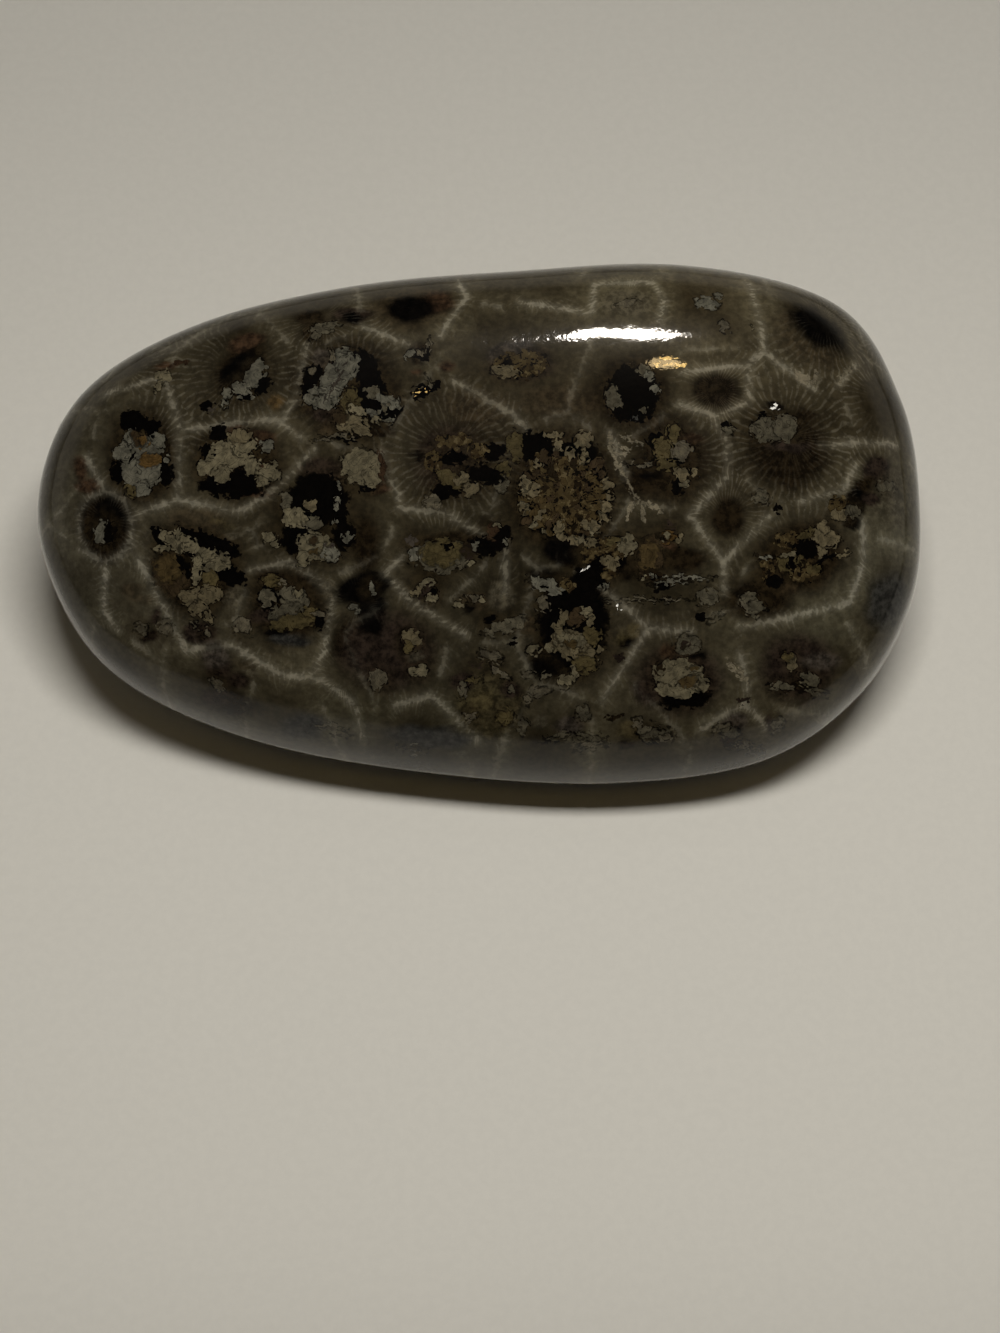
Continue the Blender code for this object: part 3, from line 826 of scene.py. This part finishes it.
def reached(plans, shape, growth, margin):
    """Which plans lie in an ellipse that is enlarged by a factor and then by a margin all round."""
    middle, long, short, direction = shape
    long, short = long * growth + margin, short * growth + margin
    if short <= 0:
        return np.zeros(len(plans), dtype=bool)
    return nearness(plans, (middle, long, short, direction), 1.0) > 0.5


class Skin:
    """The stone's corners and faces, and the numbers that its material reads from them."""

    def __init__(self, stone, photograph, centres):
        self.mesh = stone.data
        self.photograph = photograph
        self.centres = centres
        corners = len(self.mesh.vertices)
        self.points = np.empty(corners * 3)
        self.mesh.vertices.foreach_get("co", self.points)
        self.points = self.points.reshape(-1, 3) / MM
        self.normals = np.empty(corners * 3)
        self.mesh.vertices.foreach_get("normal", self.normals)
        self.normals = self.normals.reshape(-1, 3)
        self.plans = drifted(self.points, 1.2, 0.25)
        # The side that the photograph shows. It is a direction fixed to the stone.
        tilt = math.radians(ELEVATION)
        towards = self.normals @ np.array((0.0, -math.cos(tilt), math.sin(tilt)))
        self.shown = smooth_step(towards, 0.02, 0.12)

    def keep(self, name, values, domain="POINT"):
        vector = values.ndim == 2
        kind = "FLOAT_VECTOR" if vector else "FLOAT"
        layer = self.mesh.attributes.new(name, kind, domain)
        layer.data.foreach_set("vector" if vector else "value", values.astype(np.float32).ravel())

    def face_plans(self):
        middles = np.empty(len(self.mesh.polygons) * 3)
        self.mesh.polygons.foreach_get("center", middles)
        return plan_array(middles.reshape(-1, 3) / MM)

    def keep_cells(self):
        """On each face, the cells whose middles are nearest to it."""
        cells = np.array([(2 * x, 2 * y, size**2 - x**2 - y**2) for x, y, size in self.centres])
        lead = self.face_plans() @ cells[:, :2].T + cells[:, 2]
        nearest = np.argsort(-lead, axis=1)[:, :CANDIDATES]
        for number in range(CANDIDATES):
            self.keep("cell_%d" % number, cells[nearest[:, number]], "FACE")

    def keep_crystals(self):
        """On each face, the crystals and painted glints that can reach it, from the lowest to the
        uppermost.
        """
        plans = self.face_plans()
        crystals = [spot for spot in SPOTS if spot[-1] < STAIN_FROM] + petals()
        rows = []
        chance = random.Random(4)
        stack = np.full((len(plans), LAYERS), len(crystals))
        for number, (px, py, width, height, turn, kind, soft) in enumerate(crystals):
            shape = self.photograph.ellipse(px, py, width, height, turn)
            shade = chance.uniform(0.82, 1.15) if kind != "crumbs" else 1.0
            colour = np.array(KINDS[kind]) * shade
            rows.append((*quadratic(shape, soft), colour, outline(shape, kind, soft)))
            hidden = reached(plans, shape, math.sqrt(1 - soft / 2), -CRYSTAL_MARGIN)
            stack[hidden] = len(crystals)
            touched = reached(plans, shape, math.sqrt(1 + soft / 2), CRYSTAL_MARGIN)
            stack[touched, :-1] = stack[touched, 1:]
            stack[touched, -1] = number
        rows.append(((0.0, 0.0, 0.0), (0.0, 0.0, -1.0), (0.0, 0.0, 0.0), 0.0))
        for layer in range(LAYERS):
            for name, values in zip(("square", "line", "crystal", "outline"), zip(*rows)):
                self.keep("%s_%02d" % (name, layer), np.array(values)[stack[:, layer]], "FACE")

    def keep_stains(self):
        stain = np.zeros((len(self.plans), 3))
        cover = np.zeros(len(self.plans))
        for px, py, width, height, turn, kind, soft in SPOTS:
            if soft < STAIN_FROM:
                if kind not in ("wall", "gold", "glint") and min(width, height) > 3:
                    shape = self.photograph.ellipse(px, py, width + HALO, height + HALO, turn)
                    shadow = nearness(self.plans, shape, 1.6) * self.shown * 0.45
                    stain += (np.array(HALO_COLOUR) - stain) * shadow[:, None]
                    cover += (1 - cover) * shadow
                continue
            shape = self.photograph.ellipse(px, py, width, height, turn)
            strength = 1.0 if kind in DARK_KINDS else 0.5
            inside = nearness(self.plans, shape, soft) * self.shown * strength
            stain += (np.array(KINDS[kind]) - stain) * inside[:, None]
            cover += (1 - cover) * inside
        self.keep("stain", stain)
        self.keep("cover", cover)

    def keep_tints_and_sheen(self):
        """How the coral's colour drifts over the stone with painted sheen on it, and where its ribs are
        long.
        """
        total = np.zeros((len(self.plans), 3))
        weights = np.zeros(len(self.plans))
        for px, py, colour in TINTS_AND_SHEEN:
            middle = self.photograph.plan(px, py)
            apart = np.hypot(*(self.plans - np.array(middle)).T)
            weight = 1 / (apart + 2.0) ** 3
            total += np.array(colour) * weight[:, None]
            weights += weight
        self.keep("tint_and_sheen", total / weights[:, None])
        ribbed = np.zeros(len(self.plans))
        for px, py, width, height in RIBBED:
            shape = self.photograph.ellipse(px, py, width, height, 0)
            ribbed = np.maximum(ribbed, nearness(self.plans, shape, 1.0))
        self.keep("ribbed", ribbed * self.shown)

    def keep_walls(self):
        """How far each corner is from the walls that were drawn, in millimetres."""
        plans = drifted(self.points, 0.45, 0.17)
        apart = np.full(len(plans), FAR_FROM_WALLS)
        for line in WALLS:
            middles = [np.array(self.photograph.plan(px, py)) for px, py in line]
            for start, end in zip(middles, middles[1:]):
                along = end - start
                share = np.clip((plans - start) @ along / (along @ along), 0.0, 1.0)
                apart = np.minimum(apart, np.hypot(*(plans - start - share[:, None] * along).T))
        self.keep("wall", np.where(self.shown > 0.5, apart, FAR_FROM_WALLS))
        self.keep("shown", self.shown)


# ------------------------------------------------------------------------------------- node shorthands


class Nodes:
    """Short ways to add a node and link it. Most return the new node's output."""

    def __init__(self, tree):
        self.tree = tree
        tree.nodes.clear()

    def add(self, kind, **settings):
        node = self.tree.nodes.new(kind)
        for name, value in settings.items():
            setattr(node, name, value)
        return node

    def feed(self, socket, value):
        if isinstance(value, bpy.types.NodeSocket):
            self.tree.links.new(value, socket)
        elif isinstance(value, (int, float)) or not hasattr(socket.default_value, "__len__"):
            socket.default_value = value
        elif len(socket.default_value) == 4:
            socket.default_value = (*value[:3], 1.0)
        else:
            socket.default_value = tuple(value)

    def math(self, operation, *values, clamp=False):
        node = self.add("ShaderNodeMath", operation=operation, use_clamp=clamp)
        for socket, value in zip(node.inputs, values):
            self.feed(socket, value)
        return node.outputs[0]

    def vector(self, operation, *values):
        node = self.add("ShaderNodeVectorMath", operation=operation)
        for socket, value in zip(node.inputs, values):
            self.feed(socket, value)
        return node.outputs["Value" if operation in ("DOT_PRODUCT", "LENGTH", "DISTANCE") else "Vector"]

    def scaled(self, vector, factor):
        node = self.add("ShaderNodeVectorMath", operation="SCALE")
        self.feed(node.inputs[0], vector)
        self.feed(node.inputs["Scale"], factor)
        return node.outputs["Vector"]

    def kept(self, name, output="Fac"):
        """What the mesh keeps under a name."""
        return self.add("ShaderNodeAttribute", attribute_name=name).outputs[output]

    def parts(self, vector):
        node = self.add("ShaderNodeSeparateXYZ")
        self.feed(node.inputs[0], vector)
        return node.outputs

    def joined(self, x, y, z):
        node = self.add("ShaderNodeCombineXYZ")
        for socket, value in zip(node.inputs, (x, y, z)):
            self.feed(socket, value)
        return node.outputs[0]

    def blend(self, factor, start, end, kind="RGBA"):
        node = self.add("ShaderNodeMix", data_type=kind)
        first, result = {"VECTOR": (4, 1), "RGBA": (6, 2)}[kind]
        self.feed(node.inputs[0], factor)
        self.feed(node.inputs[first], start)
        self.feed(node.inputs[first + 1], end)
        return node.outputs[result]

    def span(self, value, low, high, start=0.0, end=1.0, smooth=True):
        """The value's way from low to high, as a number from start to end."""
        node = self.add("ShaderNodeMapRange", clamp=True)
        node.interpolation_type = "SMOOTHSTEP" if smooth else "LINEAR"
        for socket, number in zip(node.inputs, (value, low, high, start, end)):
            self.feed(socket, number)
        return node.outputs[0]

    def noise(self, vector, size, detail=2.0, roughness=0.5):
        """Cloudy noise whose lumps are about size across."""
        node = self.add("ShaderNodeTexNoise")
        self.feed(node.inputs["Vector"], vector)
        self.feed(node.inputs["Scale"], 1.0 / size)
        self.feed(node.inputs["Detail"], detail)
        self.feed(node.inputs["Roughness"], roughness)
        return node

    def grains(self, vector, size):
        """Angular grains about size across."""
        node = self.add("ShaderNodeTexVoronoi")
        self.feed(node.inputs["Vector"], vector)
        self.feed(node.inputs["Scale"], 1.0 / size)
        return node

    def back_and_forth(self, texture):
        """A texture's colour as steps along each axis that go back as often as forth."""
        return self.vector("SUBTRACT", texture.outputs["Color"], (0.5, 0.5, 0.5))


# ------------------------------------------------------------------------------------ the coral material


def plan_of(n, place):
    """The plan of a place on the stone, with 1 as its third number."""
    x, y, z = n.parts(place)
    spread = n.math("MULTIPLY_ADD", z, -FAN, 1 + FAN * PLAN_HEIGHT)
    return n.joined(n.math("MULTIPLY", x, spread), n.math("MULTIPLY", y, spread), 1.0)


def wandering(n, place, plan, size, reach, detail=1.0):
    """The plan, moved sideways by noise with lumps of that size."""
    cloud = n.noise(place, size, detail)
    offset = n.vector("MULTIPLY", n.back_and_forth(cloud), (reach, reach, 0.0))
    return n.vector("ADD", plan, offset)


def nearest_cells(n, plan):
    """How far the plan is from the nearest wall between two cells, and the middle of its own cell."""
    own = n.kept("cell_0", "Vector")
    other = n.vector("ADD", own, (0.0, 100.0, -5000.0))
    best = n.vector("DOT_PRODUCT", plan, own)
    second = n.math("ADD", -1.0e6, 0.0)
    for number in range(1, CANDIDATES):
        cell = n.kept("cell_%d" % number, "Vector")
        here = n.vector("DOT_PRODUCT", plan, cell)
        wins = n.math("GREATER_THAN", here, best)
        places = n.math("GREATER_THAN", here, second)
        other = n.blend(wins, n.blend(places, other, cell, "VECTOR"), own, "VECTOR")
        own = n.blend(wins, own, cell, "VECTOR")
        second = n.math("MAXIMUM", second, n.math("MINIMUM", here, best))
        best = n.math("MAXIMUM", best, here)
    middle = n.vector("MULTIPLY", own, (0.5, 0.5, 0.0))
    apart = n.vector("DISTANCE", middle, n.vector("MULTIPLY", other, (0.5, 0.5, 0.0)))
    return n.math("DIVIDE", n.math("SUBTRACT", best, second), n.math("MULTIPLY", apart, 2.0)), middle


def ribs(n, plan, middle, wobble):
    """Fine ribs that run from a cell's wall towards its middle, about as far apart all round."""
    x, y, _ = n.parts(n.vector("SUBTRACT", plan, middle))
    turn = n.math("ARCTAN2", y, x)
    wave = n.math("COSINE", n.math("MULTIPLY_ADD", turn, RIBS, n.math("MULTIPLY", wobble, 9.0)))
    return n.span(wave, 0.1, 1.0)


def crumb_colour(n, mottle, shards):
    """Small pale brown crumbs in a dark paste."""
    fleck = n.parts(shards.outputs["Color"])[0]
    crumb = n.blend(fleck, (0.018, 0.011, 0.0045), (0.060, 0.043, 0.018))
    dark = n.blend(n.span(mottle, 0.42, 0.47), (0.005, 0.0035, 0.002), crumb)
    return n.blend(n.span(mottle, 0.57, 0.64), dark, (0.090, 0.067, 0.031))


def painted(n, colour, plan):
    """The colour with the crystals that each face keeps painted over it in turn, each with its outline."""
    x, y, _ = n.parts(plan)
    squares = n.joined(n.math("MULTIPLY", x, x), n.math("MULTIPLY", x, y), n.math("MULTIPLY", y, y))
    line = n.joined(x, y, 1.0)
    for layer in range(LAYERS):
        bend = n.vector("DOT_PRODUCT", squares, n.kept("square_%02d" % layer, "Vector"))
        slope = n.vector("DOT_PRODUCT", line, n.kept("line_%02d" % layer, "Vector"))
        inside = n.math("ADD", bend, slope)
        rim = n.math("ADD", inside, n.kept("outline_%02d" % layer))
        colour = n.blend(rim, colour, n.scaled(colour, OUTLINE_SHADE))
        colour = n.blend(inside, colour, n.kept("crystal_%02d" % layer, "Color"))
    return colour


def hidden_side(n, place, coral, mottle):
    """The coral where the photograph doesn't show it: dark pockets with crystals, and fine cross lines."""
    lumps = n.noise(place, 3.2, 3.0, 0.6).outputs["Fac"]
    bits = n.noise(place, 0.8, 2.0, 0.6).outputs["Fac"]
    height = n.parts(place)[2]
    wave = n.math("SINE", n.math("MULTIPLY_ADD", height, 2.6, n.math("MULTIPLY", lumps, 14.0)))
    cross = n.math("MULTIPLY", n.span(wave, 0.90, 1.0), n.span(mottle, 0.35, 0.6, 0.0, 0.16))
    colour = n.blend(cross, coral, WALL_COLOUR)
    colour = n.blend(n.span(lumps, 0.50, 0.62, 0.0, 0.7), colour, KINDS["brown"])
    colour = n.blend(n.span(lumps, 0.585, 0.60), colour, KINDS["black"])
    crystal = n.math("MULTIPLY", n.span(lumps, 0.565, 0.58), n.span(bits, 0.53, 0.545))
    grain = n.span(mottle, 0.3, 0.7, 0.6, 1.25)
    pale = n.blend(n.span(bits, 0.55, 0.7), KINDS["tan"], KINDS["cream"])
    return n.blend(crystal, colour, n.scaled(pale, grain))


def smoky_ground(n, edge, cloud, mottle):
    """The cells' smoky filling with its stains, its local tint and painted sheen, and how far stains cover
    it.
    """
    near_wall = n.span(edge, 0.0, 1.8, 1.0, 0.0)
    depth = n.math("MULTIPLY_ADD", cloud, 1.1, n.math("MULTIPLY_ADD", near_wall, 0.45, -0.25), clamp=True)
    tint_and_sheen = n.kept("tint_and_sheen", "Vector")
    ground = n.vector("MULTIPLY", n.blend(depth, GROUND_DARK, GROUND_PALE), tint_and_sheen)
    cover = n.kept("cover")
    stain = n.scaled(n.kept("stain", "Vector"), n.span(mottle, 0.3, 0.7, 0.6, 1.5))
    ground = n.vector("ADD", n.scaled(ground, n.math("SUBTRACT", 1.0, cover)), stain)
    return ground, tint_and_sheen, cover


def coral_colour(n, place, plan):
    """The coral without its crystals, and the fine and the patchy noise that the crystals share with it."""
    wavy = wandering(n, place, plan, 3.2, 0.7)
    toothed = wandering(n, place, wavy, 0.5, 0.44, 1.5)
    edge, middle = nearest_cells(n, toothed)
    drawn = n.kept("wall")
    pale = n.span(drawn, 0.5, 1.4, 1.0, 0.0)
    edge = n.math("MINIMUM", drawn, n.math("MULTIPLY_ADD", pale, 1.2, edge))
    ribbed = n.kept("ribbed")
    cloud = n.noise(place, 4.5, 2.0, 0.55).outputs["Fac"]
    mottle = n.noise(place, 0.5, 3.0, 0.65).outputs["Fac"]
    patches = n.noise(place, 1.1, 1.0)
    blotches = n.span(patches.outputs["Fac"], 0.32, 0.68)
    streaks = ribs(n, wavy, middle, patches.outputs["Fac"])
    streaks = n.math("MULTIPLY", streaks, n.span(mottle, 0.36, 0.60, 0.15, 1.0))
    ground, tint_and_sheen, cover = smoky_ground(n, edge, cloud, mottle)

    # Walls and ribs take half of the local tint and painted sheen, and stains hide most of them.
    half_wall = Vector(WALL_COLOUR) * 0.5
    line_colour = n.vector("MULTIPLY_ADD", tint_and_sheen, half_wall, half_wall)
    bare = n.math("MULTIPLY_ADD", cover, -0.65, 1.0)
    rib_reach = n.math("MULTIPLY_ADD", blotches, 1.2, n.math("MULTIPLY_ADD", ribbed, 3.4, 0.4))
    rib_zone = n.span(n.math("DIVIDE", edge, rib_reach), 0.0, 1.0, 1.0, 0.0)
    strength = n.math("MULTIPLY_ADD", pale, 0.10, n.math("MULTIPLY_ADD", ribbed, 0.12, 0.10))
    comb = n.math("MULTIPLY", n.math("MULTIPLY", streaks, rib_zone), n.math("MULTIPLY", strength, bare))
    ground = n.blend(comb, ground, line_colour)
    brightness = n.math("MULTIPLY_ADD", pale, 0.5, n.math("MULTIPLY_ADD", blotches, 0.3, 0.1))
    brightness = n.math("MULTIPLY", brightness, bare)
    haze = n.math("MULTIPLY", n.span(edge, 0.0, 0.55, 0.40, 0.0), brightness)
    width = n.math("MULTIPLY_ADD", streaks, 0.12, n.math("MULTIPLY_ADD", blotches, 0.10, 0.10))
    core = n.math("MULTIPLY", n.span(n.math("DIVIDE", edge, width), 0.3, 1.4, 1.0, 0.0), brightness)
    ground = n.blend(n.math("MAXIMUM", haze, core), ground, line_colour)
    return n.scaled(ground, n.span(mottle, 0.3, 0.7, 0.75, 1.27)), mottle, patches


def broken_plan(n, place, plan, patches, shards):
    """The plan, moved so that crystals' edges are lobed by noise and broken off straight along shards."""
    step = n.back_and_forth(shards)
    lobes = n.back_and_forth(patches)
    fringe = n.back_and_forth(n.noise(place, 0.3, 1.0))
    shift = n.vector("MULTIPLY_ADD", lobes, LOBE_REACH, n.vector("MULTIPLY", step, SHARD_REACH))
    return n.vector("ADD", n.vector("MULTIPLY_ADD", fringe, FRINGE_REACH, shift), plan)


def with_crystals(n, place, plan, coral, mottle, patches):
    """The coral with its crystals and painted glints on it, grained and cracked, and with its crumbs."""
    shards = n.grains(place, 0.32)
    colour = painted(n, coral, broken_plan(n, place, plan, patches, shards))
    crumbly = n.span(n.parts(colour)[0], -0.3, -0.2, 1.0, 0.0, smooth=False)
    lines = n.math("ABSOLUTE", n.math("SINE", n.math("MULTIPLY", patches.outputs["Fac"], 30.0)))
    crack = n.span(lines, 0.04, 0.22, 0.3, 1.0)
    grain = n.math("MULTIPLY", n.span(mottle, 0.32, 0.68, 0.65, 1.45), crack)
    crystals = n.blend(crumbly, n.scaled(colour, grain), crumb_colour(n, mottle, shards))
    change = n.vector("LENGTH", n.vector("SUBTRACT", colour, coral))
    return n.blend(n.span(change, 0.0, 0.01), coral, crystals)


def polish(n, skin, place):
    """A clear coat with fine ripples in a slow swell, over a skin that hardly shines itself."""
    ripples = n.noise(place, 0.5, 2.0, 0.6).outputs["Fac"]
    swell = n.math("MULTIPLY", n.noise(place, 2.8, 1.0).outputs["Fac"], SWELL / RIPPLE)
    bump = n.add("ShaderNodeBump")
    bump.inputs["Distance"].default_value = RIPPLE * MM
    n.feed(bump.inputs["Height"], n.math("ADD", ripples, swell))
    n.feed(skin.inputs["Normal"], bump.outputs[0])
    n.feed(skin.inputs["Coat Normal"], bump.outputs[0])
    skin.inputs["Roughness"].default_value = 0.3
    skin.inputs["Specular IOR Level"].default_value = 0.02
    skin.inputs["Coat Weight"].default_value = 1.0
    skin.inputs["Coat Roughness"].default_value = 0.05
    skin.inputs["Coat IOR"].default_value = 1.36


def coral_material():
    material = bpy.data.materials.new("polished_fossil_coral")
    material.use_nodes = True
    n = Nodes(material.node_tree)
    place = n.scaled(n.add("ShaderNodeTexCoord").outputs["Object"], 1 / MM)
    plan = plan_of(n, place)
    coral, mottle, patches = coral_colour(n, place, plan)
    front = with_crystals(n, place, plan, coral, mottle, patches)
    colour = n.blend(n.kept("shown"), hidden_side(n, place, coral, mottle), front)
    skin = n.add("ShaderNodeBsdfPrincipled")
    n.feed(skin.inputs["Base Color"], colour)
    polish(n, skin, place)
    output = n.add("ShaderNodeOutputMaterial")
    n.feed(output.inputs["Surface"], skin.outputs[0])
    return material


# ------------------------------------------------------------------------------------- floor and lights


def paper_floor():
    """A wide sheet of pale paper under the stone."""
    mesh = bpy.data.meshes.new("paper")
    corners = [(x * PAPER_HALF, y * PAPER_HALF, 0.0) for x, y in ((-1, -1), (1, -1), (1, 1), (-1, 1))]
    mesh.from_pydata(corners, [], [(0, 1, 2, 3)])
    floor = bpy.data.objects.new("paper", mesh)
    bpy.context.scene.collection.objects.link(floor)
    material = bpy.data.materials.new("pale_paper")
    material.use_nodes = True
    n = Nodes(material.node_tree)
    place = n.scaled(n.add("ShaderNodeTexCoord").outputs["Object"], 1 / MM)
    fibres = n.noise(place, 0.7, 3.0, 0.65).outputs["Fac"]
    # Painted light: the paper is a little brighter in front of the stone and duller towards the back.
    painted_light_falloff = n.span(n.parts(place)[1], -25.0, 75.0, 1.08, 0.86)
    # Painted shade makes it dark far in front of the stone.
    painted_front_shade = n.span(n.parts(place)[1], -115.0, -43.0, 0.2, 1.0)
    shade = n.math("MULTIPLY", n.span(fibres, 0.3, 0.7, 0.985, 1.015), n.math("MULTIPLY", painted_light_falloff, painted_front_shade))
    skin = n.add("ShaderNodeBsdfPrincipled")
    n.feed(skin.inputs["Base Color"], n.scaled(PAPER_COLOUR, shade))
    # Far behind, the paper turns into the pale wall with a painted glow.
    n.feed(skin.inputs["Emission Color"], ROOM_WALL)
    n.feed(skin.inputs["Emission Strength"], n.span(n.parts(place)[1], 150.0, 600.0))
    skin.inputs["Roughness"].default_value = 0.75
    skin.inputs["Specular IOR Level"].default_value = 0.2
    output = n.add("ShaderNodeOutputMaterial")
    n.feed(output.inputs["Surface"], skin.outputs[0])
    mesh.materials.append(material)


def area_lamp(name, direction, distance, size, power, colour):
    """A lamp that shines on the stone from a direction. Its first size lies along X."""
    lamp = bpy.data.lights.new(name, "AREA")
    lamp.shape = "RECTANGLE"
    lamp.size, lamp.size_y = size
    lamp.energy = power
    lamp.color = colour
    away = direction.normalized()
    across = Vector((1.0, 0.0, 0.0)) - away * away.x
    across.normalize()
    thing = bpy.data.objects.new(name, lamp)
    thing.location = away * distance
    thing.rotation_euler = Matrix((across, away.cross(across), away)).transposed().to_euler()
    bpy.context.scene.collection.objects.link(thing)
    return thing


def lights():
    key = area_lamp("key", KEY_DIRECTION, KEY_DISTANCE, KEY_SIZE, KEY_POWER, KEY_COLOUR)
    key.visible_glossy = False
    glint = area_lamp("glint", GLINT_DIRECTION, LAMP_DISTANCE, GLINT_SIZE, GLINT_POWER, GLINT_COLOUR)
    spark = area_lamp("spark", SPARK_DIRECTION, LAMP_DISTANCE, SPARK_SIZE, SPARK_POWER, SPARK_COLOUR)
    fill = area_lamp("fill", FILL_DIRECTION, LAMP_DISTANCE, FILL_SIZE, FILL_POWER, FILL_COLOUR)
    fill.visible_glossy = False
    for lamp in (glint, spark):
        lamp.data.shape = "ELLIPSE"
        lamp.visible_diffuse = False


def room():
    """A dim room with a pale wall behind the stone and at its two sides."""
    world = bpy.data.worlds.new("room")
    world.use_nodes = True
    n = Nodes(world.node_tree)
    right, back, up = n.parts(n.add("ShaderNodeTexCoord").outputs["Generated"])
    side = n.math("MULTIPLY_ADD", n.math("ABSOLUTE", right), 0.45, back)
    wall = n.math("MULTIPLY", n.span(up, 0.22, 0.46, 1.0, 0.0), n.span(side, 0.0, 0.55))
    glow = n.blend(n.span(up, 0.0, 0.7), ROOM_LOW, ROOM_HIGH)
    background = n.add("ShaderNodeBackground")
    n.feed(background.inputs["Color"], n.blend(wall, glow, ROOM_WALL))
    output = n.add("ShaderNodeOutputWorld")
    n.feed(output.inputs["Surface"], background.outputs[0])
    bpy.context.scene.world = world


def camera():
    lens = bpy.data.cameras.new("camera")
    lens.sensor_width = SENSOR
    lens.sensor_fit = "AUTO"
    lens.lens = FOCAL_PIXELS / FRAME_HEIGHT * SENSOR
    lens.clip_start = 0.01
    thing = bpy.data.objects.new("camera", lens)
    thing.location = EYE * MM
    thing.rotation_euler = CAMERA_TURN
    bpy.context.scene.collection.objects.link(thing)
    bpy.context.scene.camera = thing


def cell_centres(photograph):
    """Each cell's middle in the plan and its size, in millimetres."""
    found = []
    for px, py, size in CELLS:
        middle = photograph.plan(px, py)
        found.append((middle.x, middle.y, size / PIXELS_PER_MM))
    return found + BACK_CELLS


camera()
paper_floor()
lights()
room()
bpy.context.scene.view_settings.view_transform = "Standard"
stone = stone_object()
photograph = Photograph(stone)
skin = Skin(stone, photograph, cell_centres(photograph))
skin.keep_cells()
skin.keep_crystals()
skin.keep_stains()
skin.keep_walls()
skin.keep_tints_and_sheen()
stone.data.materials.append(coral_material())
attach(stone, "root")
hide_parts(NODE)
